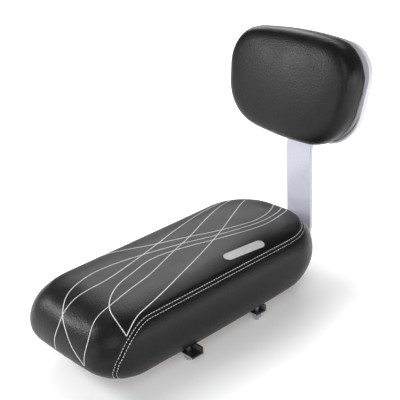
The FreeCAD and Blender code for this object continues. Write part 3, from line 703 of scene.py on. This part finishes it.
# %% Hem and board pocket
HEM_FRONT, HEM_SIDE = FLANK_ROWS[0][1:]
HEM_BOTTOM = -SKIN * MM
HEM_WIDTH = 16.0
POCKET_TOP = 12.0 * MM
WINDOW_SNAP = 0.3 * MM
UNDER_FLAT, UNDER_REACH = 1.5 * MM, 8.0 * MM


def window_distance(points):
    """Distance outside the hem's inner edge in plan, below zero inside."""
    inset = HEM_SIDE + HEM_WIDTH
    nose, tail = SEAT_HALF_LENGTH - HEM_FRONT - HEM_WIDTH, -(SEAT_HALF_LENGTH - inset)
    half = SEAT_HALF_WIDTH - inset
    share = 1.0 - inset / SEAT_HALF_WIDTH
    p = points / MM
    x, y = p[:, 0], np.abs(p[:, 1])
    radius = np.where(x > 0, FRONT_CORNER * share, REAR_CORNER * share)
    qx = np.abs(x - 0.5 * (nose + tail)) - 0.5 * (nose - tail) + radius
    qy = y - half + radius
    outside = np.hypot(np.maximum(qx, 0), np.maximum(qy, 0))
    return (outside + np.minimum(np.maximum(qx, qy), 0) - radius) * MM


def cut_window(form, layer):
    """Remove the faces where a point value is below zero; returns the rim of the opening."""
    slice_along(form, layer, 0.0, WINDOW_SNAP)
    inside = [f for f in form.faces if all(v[layer] <= 1e-7 for v in f.verts)]
    bmesh.ops.delete(form, geom=inside, context="FACES")
    bmesh.ops.delete(form, geom=[v for v in form.verts if not v.link_faces], context="VERTS")
    return [e for e in form.edges if e.is_boundary]


def wall(form, rim, axis, level):
    """Grow a wall from a rim to a level on one axis; returns the new rim."""
    grown = bmesh.ops.extrude_edge_only(form, edges=rim)["geom"]
    for v in (g for g in grown if isinstance(g, bmesh.types.BMVert)):
        v.co[axis] = level
    return [g for g in grown if isinstance(g, bmesh.types.BMEdge) and g.is_boundary]


def close_form(form, rim, thing, finish):
    """Fill a rim, turn all faces outwards and give the form and its finish to an object."""
    bmesh.ops.holes_fill(form, edges=rim, sides=0)
    bmesh.ops.triangulate(form, faces=[f for f in form.faces if len(f.verts) > 4])
    bmesh.ops.recalc_face_normals(form, faces=form.faces[:])
    for f in form.faces:
        f.smooth = True
    form.to_mesh(thing.data)
    form.free()
    thing.data.materials.clear()
    thing.data.materials.append(finish)


under = form.verts.layers.float.new("hem_gap")
for v, gap in zip(form.verts, window_distance(np.array([v.co for v in form.verts]))):
    flat = v.co.z < UNDER_FLAT
    v[under] = gap if flat else 1.0
    if flat and gap < UNDER_REACH:
        v.co.z = HEM_BOTTOM
rim = wall(form, cut_window(form, under), 2, 0.0)
rim = wall(form, rim, 2, POCKET_TOP)
close_form(form, rim, seat_cushion, seat_leather)
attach(seat_cushion, "root")
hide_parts("seat_top_panel", "seat_side_band", "seat_foam")
print("seat cushion faces:", len(seat_cushion.data.polygons))

# %% [markdown]
# ## Stitches
#
# Two rows of white thread run beside the seam. One short thread arc is the pattern, and Geometry
# Nodes repeat it along both rows: each arc lies along its row and stands on the leather, because
# the row carries the direction that faces away from the skin.

# %% Thread finish
thread_finish, tree, shader, place = new_finish("white_thread")
twist = add(tree, "ShaderNodeTexWave", wave_type="BANDS", bands_direction="DIAGONAL", Scale=900.0)
join(tree, place, twist.inputs["Vector"])
color = ramp(tree, twist.outputs["Fac"], 0.1, 0.9, (0.74, 0.74, 0.73), (0.90, 0.90, 0.89))
feed(tree, shader, Base_Color=color, Normal=bump(tree, twist.outputs["Fac"], 0.0001))
shader.inputs["Roughness"].default_value = 0.6
shader.inputs["Sheen Weight"].default_value = 0.2
print("thread ready")

# %% Rows beside the seam
def skin_of(thing):
    return BVHTree.FromPolygons([v.co for v in thing.data.vertices],
                                [tuple(p.vertices) for p in thing.data.polygons])


seat_skin = skin_of(seat_cushion)
centre_line = calm([p for p, n in seam_skin], 6)
facing = calm([n for p, n in seam_skin], 12)
ahead = np.gradient(centre_line, axis=0)
beside = np.cross(facing, ahead)
beside /= np.linalg.norm(beside, axis=1, keepdims=True)
stitch_rows = []
for gap in (-STITCH_OFFSET, STITCH_OFFSET):
    found = [seat_skin.find_nearest(Vector(p))[:2] for p in centre_line + beside * gap * MM]
    spots = calm([p for p, n in found], 6)
    normals = calm([n for p, n in found], 10)
    stitch_rows.append([(Vector(p), Vector(n).normalized()) for p, n in zip(spots, normals)])
print("stitch rows:", [len(r) for r in stitch_rows])

# %% Paths that carry their skin direction
def path_mesh(name, rows):
    """Mesh of open paths whose points hold the direction away from the skin."""
    mesh = bpy.data.meshes.new(name)
    verts, edges, normals = [], [], []
    for row in rows:
        first = len(verts)
        verts += [p for p, n in row]
        normals += [n for p, n in row]
        edges += [(first + i, first + i + 1) for i in range(len(row) - 1)]
    mesh.from_pydata(verts, edges, [])
    skin = mesh.attributes.new("skin", "FLOAT_VECTOR", "POINT")
    skin.data.foreach_set("vector", np.array(normals, float).ravel())
    return mesh


def new_tree(name, sizes):
    """Geometry node tree with one named input per size; returns tree, inputs and output node."""
    tree = bpy.data.node_groups.new(name, "GeometryNodeTree")
    for way in ("INPUT", "OUTPUT"):
        tree.interface.new_socket("Geometry", in_out=way, socket_type="NodeSocketGeometry")
    for title in sizes:
        tree.interface.new_socket(title, in_out="INPUT", socket_type="NodeSocketFloat")
    return tree, add(tree, "NodeGroupInput"), add(tree, "NodeGroupOutput")


def grow(name, mesh, tree, sizes):
    """Run a node tree on a path and keep the result as a plain mesh object."""
    thing = to_object(name, mesh)
    nodes = thing.modifiers.new("grow", "NODES")
    nodes.node_group = tree
    for item in tree.interface.items_tree:
        if item.item_type == "SOCKET" and item.in_out == "INPUT" and item.name in sizes:
            nodes[item.identifier] = sizes[item.name]
    return settle(thing)


def end_tree(tree, geometry, finish, output):
    """Make copies real, shade them smooth and give them their finish."""
    for node in (add(tree, "GeometryNodeRealizeInstances"), add(tree, "GeometryNodeSetShadeSmooth"),
                 add(tree, "GeometryNodeSetMaterial", Material=finish)):
        join(tree, geometry, node.inputs[0])
        geometry = node.outputs[0]
    join(tree, geometry, output.inputs[0])


def tube(tree, path, radius, sides):
    """Round wire along a curve, with closed ends."""
    ring = add(tree, "GeometryNodeCurvePrimitiveCircle", Resolution=sides)
    wire = add(tree, "GeometryNodeCurveToMesh", Fill_Caps=True)
    join(tree, radius, ring.inputs["Radius"])
    join(tree, path, wire.inputs["Curve"])
    join(tree, ring.outputs[0], wire.inputs["Profile Curve"])
    return wire.outputs[0]


def repeat(tree, given, shape):
    """Copy a shape at the given pitch along the paths; each copy stands on the skin."""
    line = add(tree, "GeometryNodeMeshToCurve")
    beads = add(tree, "GeometryNodeCurveToPoints", mode="LENGTH")
    join(tree, given.outputs["Geometry"], line.inputs["Mesh"])
    join(tree, line.outputs[0], beads.inputs["Curve"])
    join(tree, given.outputs["Pitch"], beads.inputs["Length"])
    skin = add(tree, "GeometryNodeInputNamedAttribute", data_type="FLOAT_VECTOR", Name="skin")
    along = add(tree, "FunctionNodeAlignRotationToVector", axis="X")
    stand = add(tree, "FunctionNodeAlignRotationToVector", axis="Z", pivot_axis="X")
    join(tree, beads.outputs["Tangent"], along.inputs["Vector"])
    join(tree, along.outputs[0], stand.inputs["Rotation"])
    join(tree, skin.outputs["Attribute"], stand.inputs["Vector"])
    copies = add(tree, "GeometryNodeInstanceOnPoints")
    join(tree, beads.outputs["Points"], copies.inputs["Points"])
    join(tree, shape, copies.inputs["Instance"])
    join(tree, stand.outputs[0], copies.inputs["Rotation"])
    return copies.outputs[0]


print("path tools ready")

# %% Stitch tree
tree, given, output = new_tree("stitch_row", ["Pitch", "Stitch Length", "Thread Radius", "Arc Height"])
dip = reckon(tree, "MULTIPLY", given.outputs["Arc Height"], -0.6)
start, middle, stop = (add(tree, "ShaderNodeCombineXYZ") for i in range(3))
join(tree, reckon(tree, "MULTIPLY", given.outputs["Stitch Length"], -0.5), start.inputs["X"])
join(tree, dip, start.inputs["Z"])
join(tree, given.outputs["Arc Height"], middle.inputs["Z"])
join(tree, reckon(tree, "MULTIPLY", given.outputs["Stitch Length"], 0.5), stop.inputs["X"])
join(tree, dip, stop.inputs["Z"])
arc = add(tree, "GeometryNodeCurveQuadraticBezier", Resolution=5)
for node, socket in ((start, "Start"), (middle, "Middle"), (stop, "End")):
    join(tree, node.outputs[0], arc.inputs[socket])
thread = tube(tree, arc.outputs[0], given.outputs["Thread Radius"], 6)
end_tree(tree, repeat(tree, given, thread), thread_finish, output)
seat_stitches = grow("seat_stitches", path_mesh("seat_stitches", stitch_rows), tree, {
    "Pitch": 3.6 * MM, "Stitch Length": 2.2 * MM, "Thread Radius": 0.36 * MM, "Arc Height": 0.45 * MM})
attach(seat_stitches, "root")
print("stitch faces:", len(seat_stitches.data.polygons))

# %% [markdown]
# ## Printed lines
#
# Six thin white lines sweep over the top and the front in two crossing fans. Each is given by a
# few points; a smooth curve runs through them, is laid on the leather along the line of sight,
# or on the nearest skin where that is hidden, and becomes a fine raised bead, so it also shows
# in a grazing view.

# %% Line finish
print_finish, tree, shader, place = new_finish("white_print")
speck = noise(tree, place, 1200.0, 2.0)
color = ramp(tree, speck, 0.3, 0.7, (0.78, 0.78, 0.79), (0.88, 0.88, 0.89))
feed(tree, shader, Base_Color=color, Normal=bump(tree, speck, 0.00008))
shader.inputs["Roughness"].default_value = 0.5
print("print finish ready")

# %% Line paths
LINES = {
    "near_1": [(-168, -12, 68), (-153, 2, 73), (-130, 13, 75), (-110, 15, 75), (-61, 1, 75),
               (-19, -18, 75), (19, -34, 75), (49, -51, 74), (67, -63, 71), (80, -71, 65)],
    "near_2": [(-171, -1, 66), (-161, 9, 70), (-132, 22, 75), (-108, 22, 75), (-50, 7, 75),
               (-10, -8, 75), (30, -20, 75), (80, -31, 75), (110, -31, 75), (146, -21, 71),
               (164, -6, 61), (172, 9, 53), (177, 25, 41), (176, 42, 26)],
    "near_3": [(-167, 13, 67), (-154, 22, 72), (-133, 29, 75), (-107, 31, 75), (-43, 14, 75),
               (-9, 2, 75), (18, -5, 75), (42, -7, 75), (73, 1, 75), (97, 8, 75), (116, 19, 75),
               (132, 34, 73), (138, 46, 71), (141, 59, 68), (141, 72, 58)],
    "far_1": [(-150, -63, 65), (-120, -60, 70), (-83, -54, 73), (-26, -40, 75), (25, -26, 75),
              (70, -15, 75), (98, -9, 75), (146, -8, 71), (163, -6, 62), (172, -3, 53),
              (178, -5, 40), (176, -9, 24)],
    "far_2": [(-156, -58, 65), (-140, -55, 70), (-112, -48, 74), (-82, -38, 75), (-27, -15, 75),
              (18, 1, 75), (63, 18, 75), (100, 27, 75), (132, 34, 73), (148, 36, 70),
              (158, 39, 65), (170, 45, 53), (176, 45, 41), (176, 42, 26)],
    "far_3": [(-164, -47, 65), (-152, -41, 71), (-135, -34, 74), (-103, -18, 75), (-54, 6, 75),
              (-4, 27, 75), (42, 44, 75), (71, 52, 72), (98, 60, 71), (120, 65, 69),
              (132, 69, 64), (141, 72, 58)],
}
LINE_STEP = 2.0
SINK = 0.3 * MM
SIGHT_LIMIT = 6.0 * MM


def on_skin(point):
    """Skin point in the line of sight of a mark, or the nearest one where the mark is hidden."""
    seen = seat_skin.ray_cast(EYE, (point - EYE).normalized())[0]
    near = seat_skin.find_nearest(point)[0]
    return seen if seen is not None and (seen - near).length < SIGHT_LIMIT else near


line_rows = []
for title, marks in LINES.items():
    laid = [on_skin(Vector(p) * MM) for p in smooth_path(marks, LINE_STEP)]
    found = [seat_skin.find_nearest(Vector(p))[:2] for p in calm(laid, 8)]
    normals = calm([n for p, n in found], 8)
    spots = calm([p for p, n in found], 1) - normals * SINK
    line_rows.append([(Vector(p), Vector(n)) for p, n in zip(spots, normals)])
print("line points:", sum(len(r) for r in line_rows))

# %% Line tree
tree, given, output = new_tree("printed_line", ["Bead Radius"])
line = add(tree, "GeometryNodeMeshToCurve")
join(tree, given.outputs["Geometry"], line.inputs["Mesh"])
even = add(tree, "GeometryNodeResampleCurve", mode="LENGTH", Length=LINE_STEP * MM)
join(tree, line.outputs[0], even.inputs["Curve"])
bead = tube(tree, even.outputs[0], given.outputs["Bead Radius"], 8)
end_tree(tree, bead, print_finish, output)
seat_lines = grow("seat_printed_lines", path_mesh("seat_printed_lines", line_rows), tree,
                  {"Bead Radius": 0.58 * MM})
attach(seat_lines, "root")
print("line faces:", len(seat_lines.data.polygons))

# %% [markdown]
# ## Badge
#
# A small pale plate with round ends sits on the top panel beside the side seam. It is a thin
# moulded piece with a raised rim, bent to the cushion. Rings of a rounded outline are dropped
# onto the leather and lifted by a height for each ring.

# %% Badge
BADGE_CENTRE, BADGE_YAW = (-47.0, 54.6), math.radians(-5.7)
BADGE_HALF_LENGTH, BADGE_RADIUS = 28.7, 6.0
BADGE_RINGS = [(0.0, -0.5), (0.0, 0.45), (0.25, 0.75), (0.9, 0.8), (1.15, 0.6), (1.5, 0.5),
               (3.2, 0.5), (5.0, 0.5)]

badge_finish, tree, shader, place = new_finish("white_badge")
haze = noise(tree, place, 160.0, 3.0)
color = ramp(tree, haze, 0.3, 0.7, (0.52, 0.52, 0.52), (0.60, 0.60, 0.60))
feed(tree, shader, Base_Color=color, Roughness=spread(tree, haze, 0.3, 0.7, 0.30, 0.42))

loops = []
for inset, rise in BADGE_RINGS:
    r = BADGE_RADIUS - inset
    straight = BADGE_HALF_LENGTH - BADGE_RADIUS
    flat = np.vstack([bow((straight, 0), r, -90, 90, 16), run((straight, r), (-straight, r), 30),
                      bow((-straight, 0), r, 90, 270, 16), run((-straight, -r), (straight, -r), 30)])
    loop = []
    for u, w in flat:
        x = BADGE_CENTRE[0] + u * math.cos(BADGE_YAW) - w * math.sin(BADGE_YAW)
        y = BADGE_CENTRE[1] + u * math.sin(BADGE_YAW) + w * math.cos(BADGE_YAW)
        spot, normal = seat_skin.ray_cast(Vector((x * MM, y * MM, 0.2)), Vector((0, 0, -1)))[:2]
        loop.append(spot + normal * rise * MM)
    loops.append(np.array([tuple(p) for p in loop]))
badge = to_object("seat_badge", stack("seat_badge", loops))
for p in badge.data.polygons:
    p.use_smooth = len(p.vertices) == 4
badge.data.materials.append(badge_finish)
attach(badge, "root")
print("badge faces:", len(badge.data.polygons))

# %% [markdown]
# ## Backrest cushion
#
# The backrest is a rounded pad that leans back. Its outline has an arched top, slanting sides
# and round corners; the table gives depth in front of its board and the inset there. It is
# stacked, filled and refined in the same way, in its own upright frame, and then leaned. It
# starts a little large, because smoothing draws it in more than the cloth run swells it.

# %% Backrest form
BACK_POINT = Vector((-211.2, 0.0, 217.3)) * MM
BACK_TILT = math.radians(12.2)
BACK_TOP, BACK_BOTTOM, BACK_HALF = 66.0, 64.2, 93.5
BACK_ARCH, BACK_SAG = 520.0, 420.0
TOP_CORNER, LOW_CORNER = 46.0, 54.0
CORNER_SHRINK = 0.55
BACK_TAPER = math.radians(6.0)
SIDE_OUT = np.array((math.cos(BACK_TAPER), -math.sin(BACK_TAPER)))
SIDE_UP = np.array((math.sin(BACK_TAPER), math.cos(BACK_TAPER)))
PAD_ROWS = [(0.0, 2.4), (6.0, 0.6), (16.0, 0.0), (24.0, 0.4), (29.5, 2.0), (33.5, 5.4),
            (35.8, 10.0), (37.0, 17.0), (37.8, 32.0)]
PAD_SMALL, PAD_EASE = -0.4, 16.0
PAD_SKEW, SKEW_START, SKEW_LENGTH = 0.08, 4.0, 12.0
PAD_GRID = 4.2 * MM


def corner_centre(gap, radius, hub, arch, way):
    """Centre of a corner arc that touches the slanting side and the arc round the hub."""
    base = (gap - radius) * SIDE_OUT - hub
    dot = base @ SIDE_UP
    return hub + base + SIDE_UP * (-dot + way * math.sqrt(dot * dot - base @ base + (arch - radius) ** 2))


def back_outline(inset):
    """Outline across and up in millimetres, counter-clockwise from the middle of the bottom."""
    top_r, low_r = TOP_CORNER - CORNER_SHRINK * inset, LOW_CORNER - CORNER_SHRINK * inset
    half, arch, sag = BACK_HALF - inset, BACK_ARCH - inset, BACK_SAG - inset
    top_hub, low_hub = np.array((0.0, BACK_TOP - BACK_ARCH)), np.array((0.0, BACK_SAG - BACK_BOTTOM))
    top_centre = corner_centre(half, top_r, top_hub, arch, 1.0)
    low_centre = corner_centre(half, low_r, low_hub, sag, -1.0)
    side_angle = -math.degrees(BACK_TAPER)
    top_angle = math.degrees(math.atan2(top_centre[1] - top_hub[1], top_centre[0]))
    low_angle = math.degrees(math.atan2(low_centre[1] - low_hub[1], low_centre[0]))
    right = np.vstack([
        bow(low_hub, sag, -90, low_angle, 12),
        bow(low_centre, low_r, low_angle, side_angle, 16),
        run(low_centre + low_r * SIDE_OUT, top_centre + top_r * SIDE_OUT, 12),
        bow(top_centre, top_r, side_angle, top_angle, 16),
        bow(top_hub, arch, top_angle, 90, 10),
    ])
    middle = np.array([(0.0, top_hub[1] + arch)])
    return np.vstack([right, middle, right[:0:-1] * (-1, 1)])


def lean(points):
    """From depth, across and up in metres to the leaning place."""
    n = np.array((math.cos(BACK_TILT), 0.0, math.sin(BACK_TILT)))
    u = np.array((-math.sin(BACK_TILT), 0.0, math.cos(BACK_TILT)))
    y = np.array((0.0, 1.0, 0.0))
    p = np.asarray(points)
    return np.array(BACK_POINT) + p[:, :1] * n + p[:, 1:2] * y + p[:, 2:] * u


loops = []
for depth, inset in smooth_table(PAD_ROWS, 26):
    flat = back_outline(inset + PAD_SMALL)
    ahead = depth - PAD_SMALL * min(1.0, depth / PAD_EASE)
    pull = PAD_SKEW * min(1.0, max(0.0, (depth - SKEW_START) / SKEW_LENGTH))
    flat[:, 1] += np.minimum(flat[:, 1], 0.0) * pull * flat[:, 0] / BACK_HALF
    loops.append(np.c_[np.full(len(flat), ahead), flat] * MM)
back_cushion = to_object("back_cushion", stack("back_cushion", loops))
back_cushion = even_out(back_cushion, PAD_GRID)
print("backrest form quads:", len(back_cushion.data.polygons))

# %% Fill the backrest
PAD_HOLD, PAD_SWELL = 2.5 * MM, 3.5 * MM
held = points_of(back_cushion.data)[:, 0] < PAD_HOLD
back_cushion = puff(back_cushion, held, PRESSURE, PAD_SWELL, 14)
back_cushion = finer(back_cushion, 3)
print("backrest points:", len(back_cushion.data.vertices))

# %% Board pocket of the backrest
RIM_INSET, BOARD_ROOM, BOARD_THICKNESS = 5.0, 0.2, 8.0
BOARD_INSET = RIM_INSET + SKIN + BOARD_ROOM
REAR_EASE, REAR_FLAT = 7.0 * MM, 1.2 * MM
form = bmesh.new()
form.from_mesh(back_cushion.data)
rear = form.verts.layers.float.new("rim_gap")
rear_ring = [v for v in form.verts if v.co.x < REAR_EASE]
for i in range(6):
    bmesh.ops.smooth_vert(form, verts=rear_ring, factor=0.5,
                          use_axis_x=True, use_axis_y=True, use_axis_z=True)
edge = back_outline(BOARD_INSET) * MM
for v in form.verts:
    gap = 1.0
    if v.co.x < REAR_FLAT:
        v.co.x = 0.0
        p = np.array((v.co.y, v.co.z))
        q = np.roll(edge, -1, axis=0)
        d = q - edge
        t = np.clip(((p - edge) * d).sum(1) / (d * d).sum(1), 0, 1)
        off = p - (edge + t[:, None] * d)
        i = int(np.argmin((off * off).sum(1)))
        outside = d[i][0] * off[i][1] - d[i][1] * off[i][0] < 0
        gap = float(np.linalg.norm(off[i])) * (1.0 if outside else -1.0)
    v[rear] = gap
rim = wall(form, cut_window(form, rear), 0, BOARD_THICKNESS * MM)
close_form(form, rim, back_cushion, back_leather)
move_points(back_cushion.data, lean(points_of(back_cushion.data)))
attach(back_cushion, "root")
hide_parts("back_cover", "back_foam")
print("backrest faces:", len(back_cushion.data.polygons))

# %% [markdown]
# ## Hard parts
#
# The strap, the shell, the clamp plates and the bolts are right as solids, so they keep their
# meshes and only get finishes: smooth lavender-white paint with a faint orange-peel, moulded
# plastic of the same tint, satin black paint, bright zinc and raw plywood. A narrow lip is
# added to the shell, because its rim reaches right up to the pad.

# %% Strap paint and shell plastic
def gloss_coat(name, low, high, rough_low, rough_high, peel):
    finish, tree, shader, place = new_finish(name)
    cloud = noise(tree, place, 18.0, 3.0)
    ripple = noise(tree, place, 420.0, 2.0)
    feed(tree, shader, Base_Color=ramp(tree, ripple, 0.3, 0.7, low, high), Normal=bump(tree, ripple, peel),
         Roughness=spread(tree, cloud, 0.3, 0.7, rough_low, rough_high))
    return finish


strap_paint = gloss_coat("strap_paint", (0.63, 0.62, 0.73), (0.68, 0.67, 0.77), 0.16, 0.24, 0.00003)
shell_plastic = gloss_coat("shell_plastic", (0.79, 0.78, 0.84), (0.81, 0.80, 0.86), 0.22, 0.30, 0.00002)
print("coats ready")

# %% Lip of the shell against the pad
LIP_OUTER, LIP_INNER = 0.5, RIM_INSET
LIP_BACK, LIP_FRONT = -1.5, -0.2
STRAP_ROOM = 40.0
sections = []
for a, b in zip(back_outline(LIP_OUTER), back_outline(LIP_INNER)):
    if abs(a[0]) > STRAP_ROOM or a[1] > 0.0:
        corners = [(LIP_BACK, *a), (LIP_BACK, *b), (LIP_FRONT, *b), (LIP_FRONT, *a)]
        sections.append(lean(np.array(corners) * MM))
shell_lip = to_object("shell_lip", stack("shell_lip", sections))
shell_lip.data.materials.append(shell_plastic)
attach(shell_lip, "root")
print("lip sections:", len(sections))

# %% Black plates with a painted highlight on their cut edges
clamp_paint, tree, shader, place = new_finish("clamp_paint")
facing = add(tree, "ShaderNodeSeparateXYZ")
join(tree, add(tree, "ShaderNodeTexCoord").outputs["Normal"], facing.inputs[0])
edge_highlight = add(tree, "ShaderNodeMath", operation="ABSOLUTE")
join(tree, facing.outputs["X"], edge_highlight.inputs[0])
speckle = noise(tree, place, 700.0, 3.0)
# The faces turned along the seat's length, the cut edges, get light grey metal: a painted highlight on
# black paint.
color = ramp(tree, edge_highlight.outputs[0], 0.75, 0.85, (0.014, 0.014, 0.014), (0.62, 0.62, 0.63))
feed(tree, shader, Base_Color=color, Metallic=spread(tree, edge_highlight.outputs[0], 0.75, 0.85, 0.0, 0.9),
     Roughness=spread(tree, speckle, 0.3, 0.7, 0.28, 0.44), Normal=bump(tree, speckle, 0.00005))
print("clamp paint ready")

# %% Zinc and plywood
zinc, tree, shader, place = new_finish("zinc")
spangle = noise(tree, place, 900.0, 4.0, 0.6)
color = ramp(tree, spangle, 0.3, 0.7, (0.38, 0.38, 0.40), (0.52, 0.52, 0.54))
feed(tree, shader, Base_Color=color, Roughness=spread(tree, spangle, 0.3, 0.7, 0.28, 0.42))
shader.inputs["Metallic"].default_value = 1.0

plywood, tree, shader, place = new_finish("plywood")
stretch = add(tree, "ShaderNodeMapping", Scale=(9.0, 160.0, 160.0))
join(tree, place, stretch.inputs["Vector"])
fibre = noise(tree, stretch.outputs[0], 1.0, 6.0, 0.65)
pores = noise(tree, stretch.outputs[0], 6.0, 3.0, 0.6)
color = ramp(tree, fibre, 0.3, 0.72, (0.36, 0.22, 0.11), (0.60, 0.44, 0.27))
feed(tree, shader, Base_Color=color, Normal=bump(tree, pores, 0.0002))
shader.inputs["Roughness"].default_value = 0.75
print("zinc and plywood ready")

# %% [markdown]
# ## Staples
#
# Wire staples hold the hem to the board all round, except where the clamp plates and the strap
# lie. The row is the middle of the hem, laid on the leather from below. One short wire is the
# pattern, and Geometry Nodes repeat it along the row.

# %% Rows of the staples
STAPLE_ROOM = 5.0 * MM
covers = [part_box(node) for node in ("clamp_plate_front", "clamp_plate_rear", "backrest_strap")]
staple_rows = [[]]
for x, y in seat_outline(HEM_FRONT, HEM_SIDE, 0.5 * HEM_WIDTH) * MM:
    spot, normal = seat_skin.ray_cast(Vector((x, y, -0.2)), Vector((0.0, 0.0, 1.0)))[:2]
    hidden = any(low[0] - STAPLE_ROOM < x < high[0] + STAPLE_ROOM
                 and low[1] - STAPLE_ROOM < y < high[1] + STAPLE_ROOM for low, high in covers)
    if hidden:
        staple_rows.append([])
    else:
        staple_rows[-1].append((spot, normal))
staple_rows = [row for row in staple_rows if len(row) > 1]
print("staple rows:", [len(row) for row in staple_rows])

# %% Staple tree
tree, given, output = new_tree("staple_row", ["Pitch", "Crown", "Wire"])
size = add(tree, "ShaderNodeCombineXYZ")
for axis, title in (("X", "Crown"), ("Y", "Wire"), ("Z", "Wire")):
    join(tree, given.outputs[title], size.inputs[axis])
wire = add(tree, "GeometryNodeMeshCube")
join(tree, size.outputs[0], wire.inputs["Size"])
end_tree(tree, repeat(tree, given, wire.outputs["Mesh"]), zinc, output)
seat_staples = grow("seat_staples", path_mesh("seat_staples", staple_rows), tree,
                    {"Pitch": 18.0 * MM, "Crown": 10.0 * MM, "Wire": 0.7 * MM})
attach(seat_staples, "root")
print("staple faces:", len(seat_staples.data.polygons))

# %% Give the solids their finishes
FINISH_OF = {
    "backrest_strap": strap_paint, "back_shell": shell_plastic,
    "clamp_plate_front": clamp_paint, "clamp_plate_rear": clamp_paint,
    "clamp_bolts": zinc, "clamp_washers": zinc, "clamp_nuts": zinc,
    "strap_bolts": zinc, "strap_washers": zinc, "strap_tee_nuts": zinc,
    "back_bolts": zinc, "back_washers": zinc, "back_tee_nuts": zinc,
    "seat_base_board": plywood, "back_board": plywood,
}
for node, finish in FINISH_OF.items():
    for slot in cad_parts[node].material_slots:
        slot.material = finish
print("finished solids:", len(FINISH_OF))
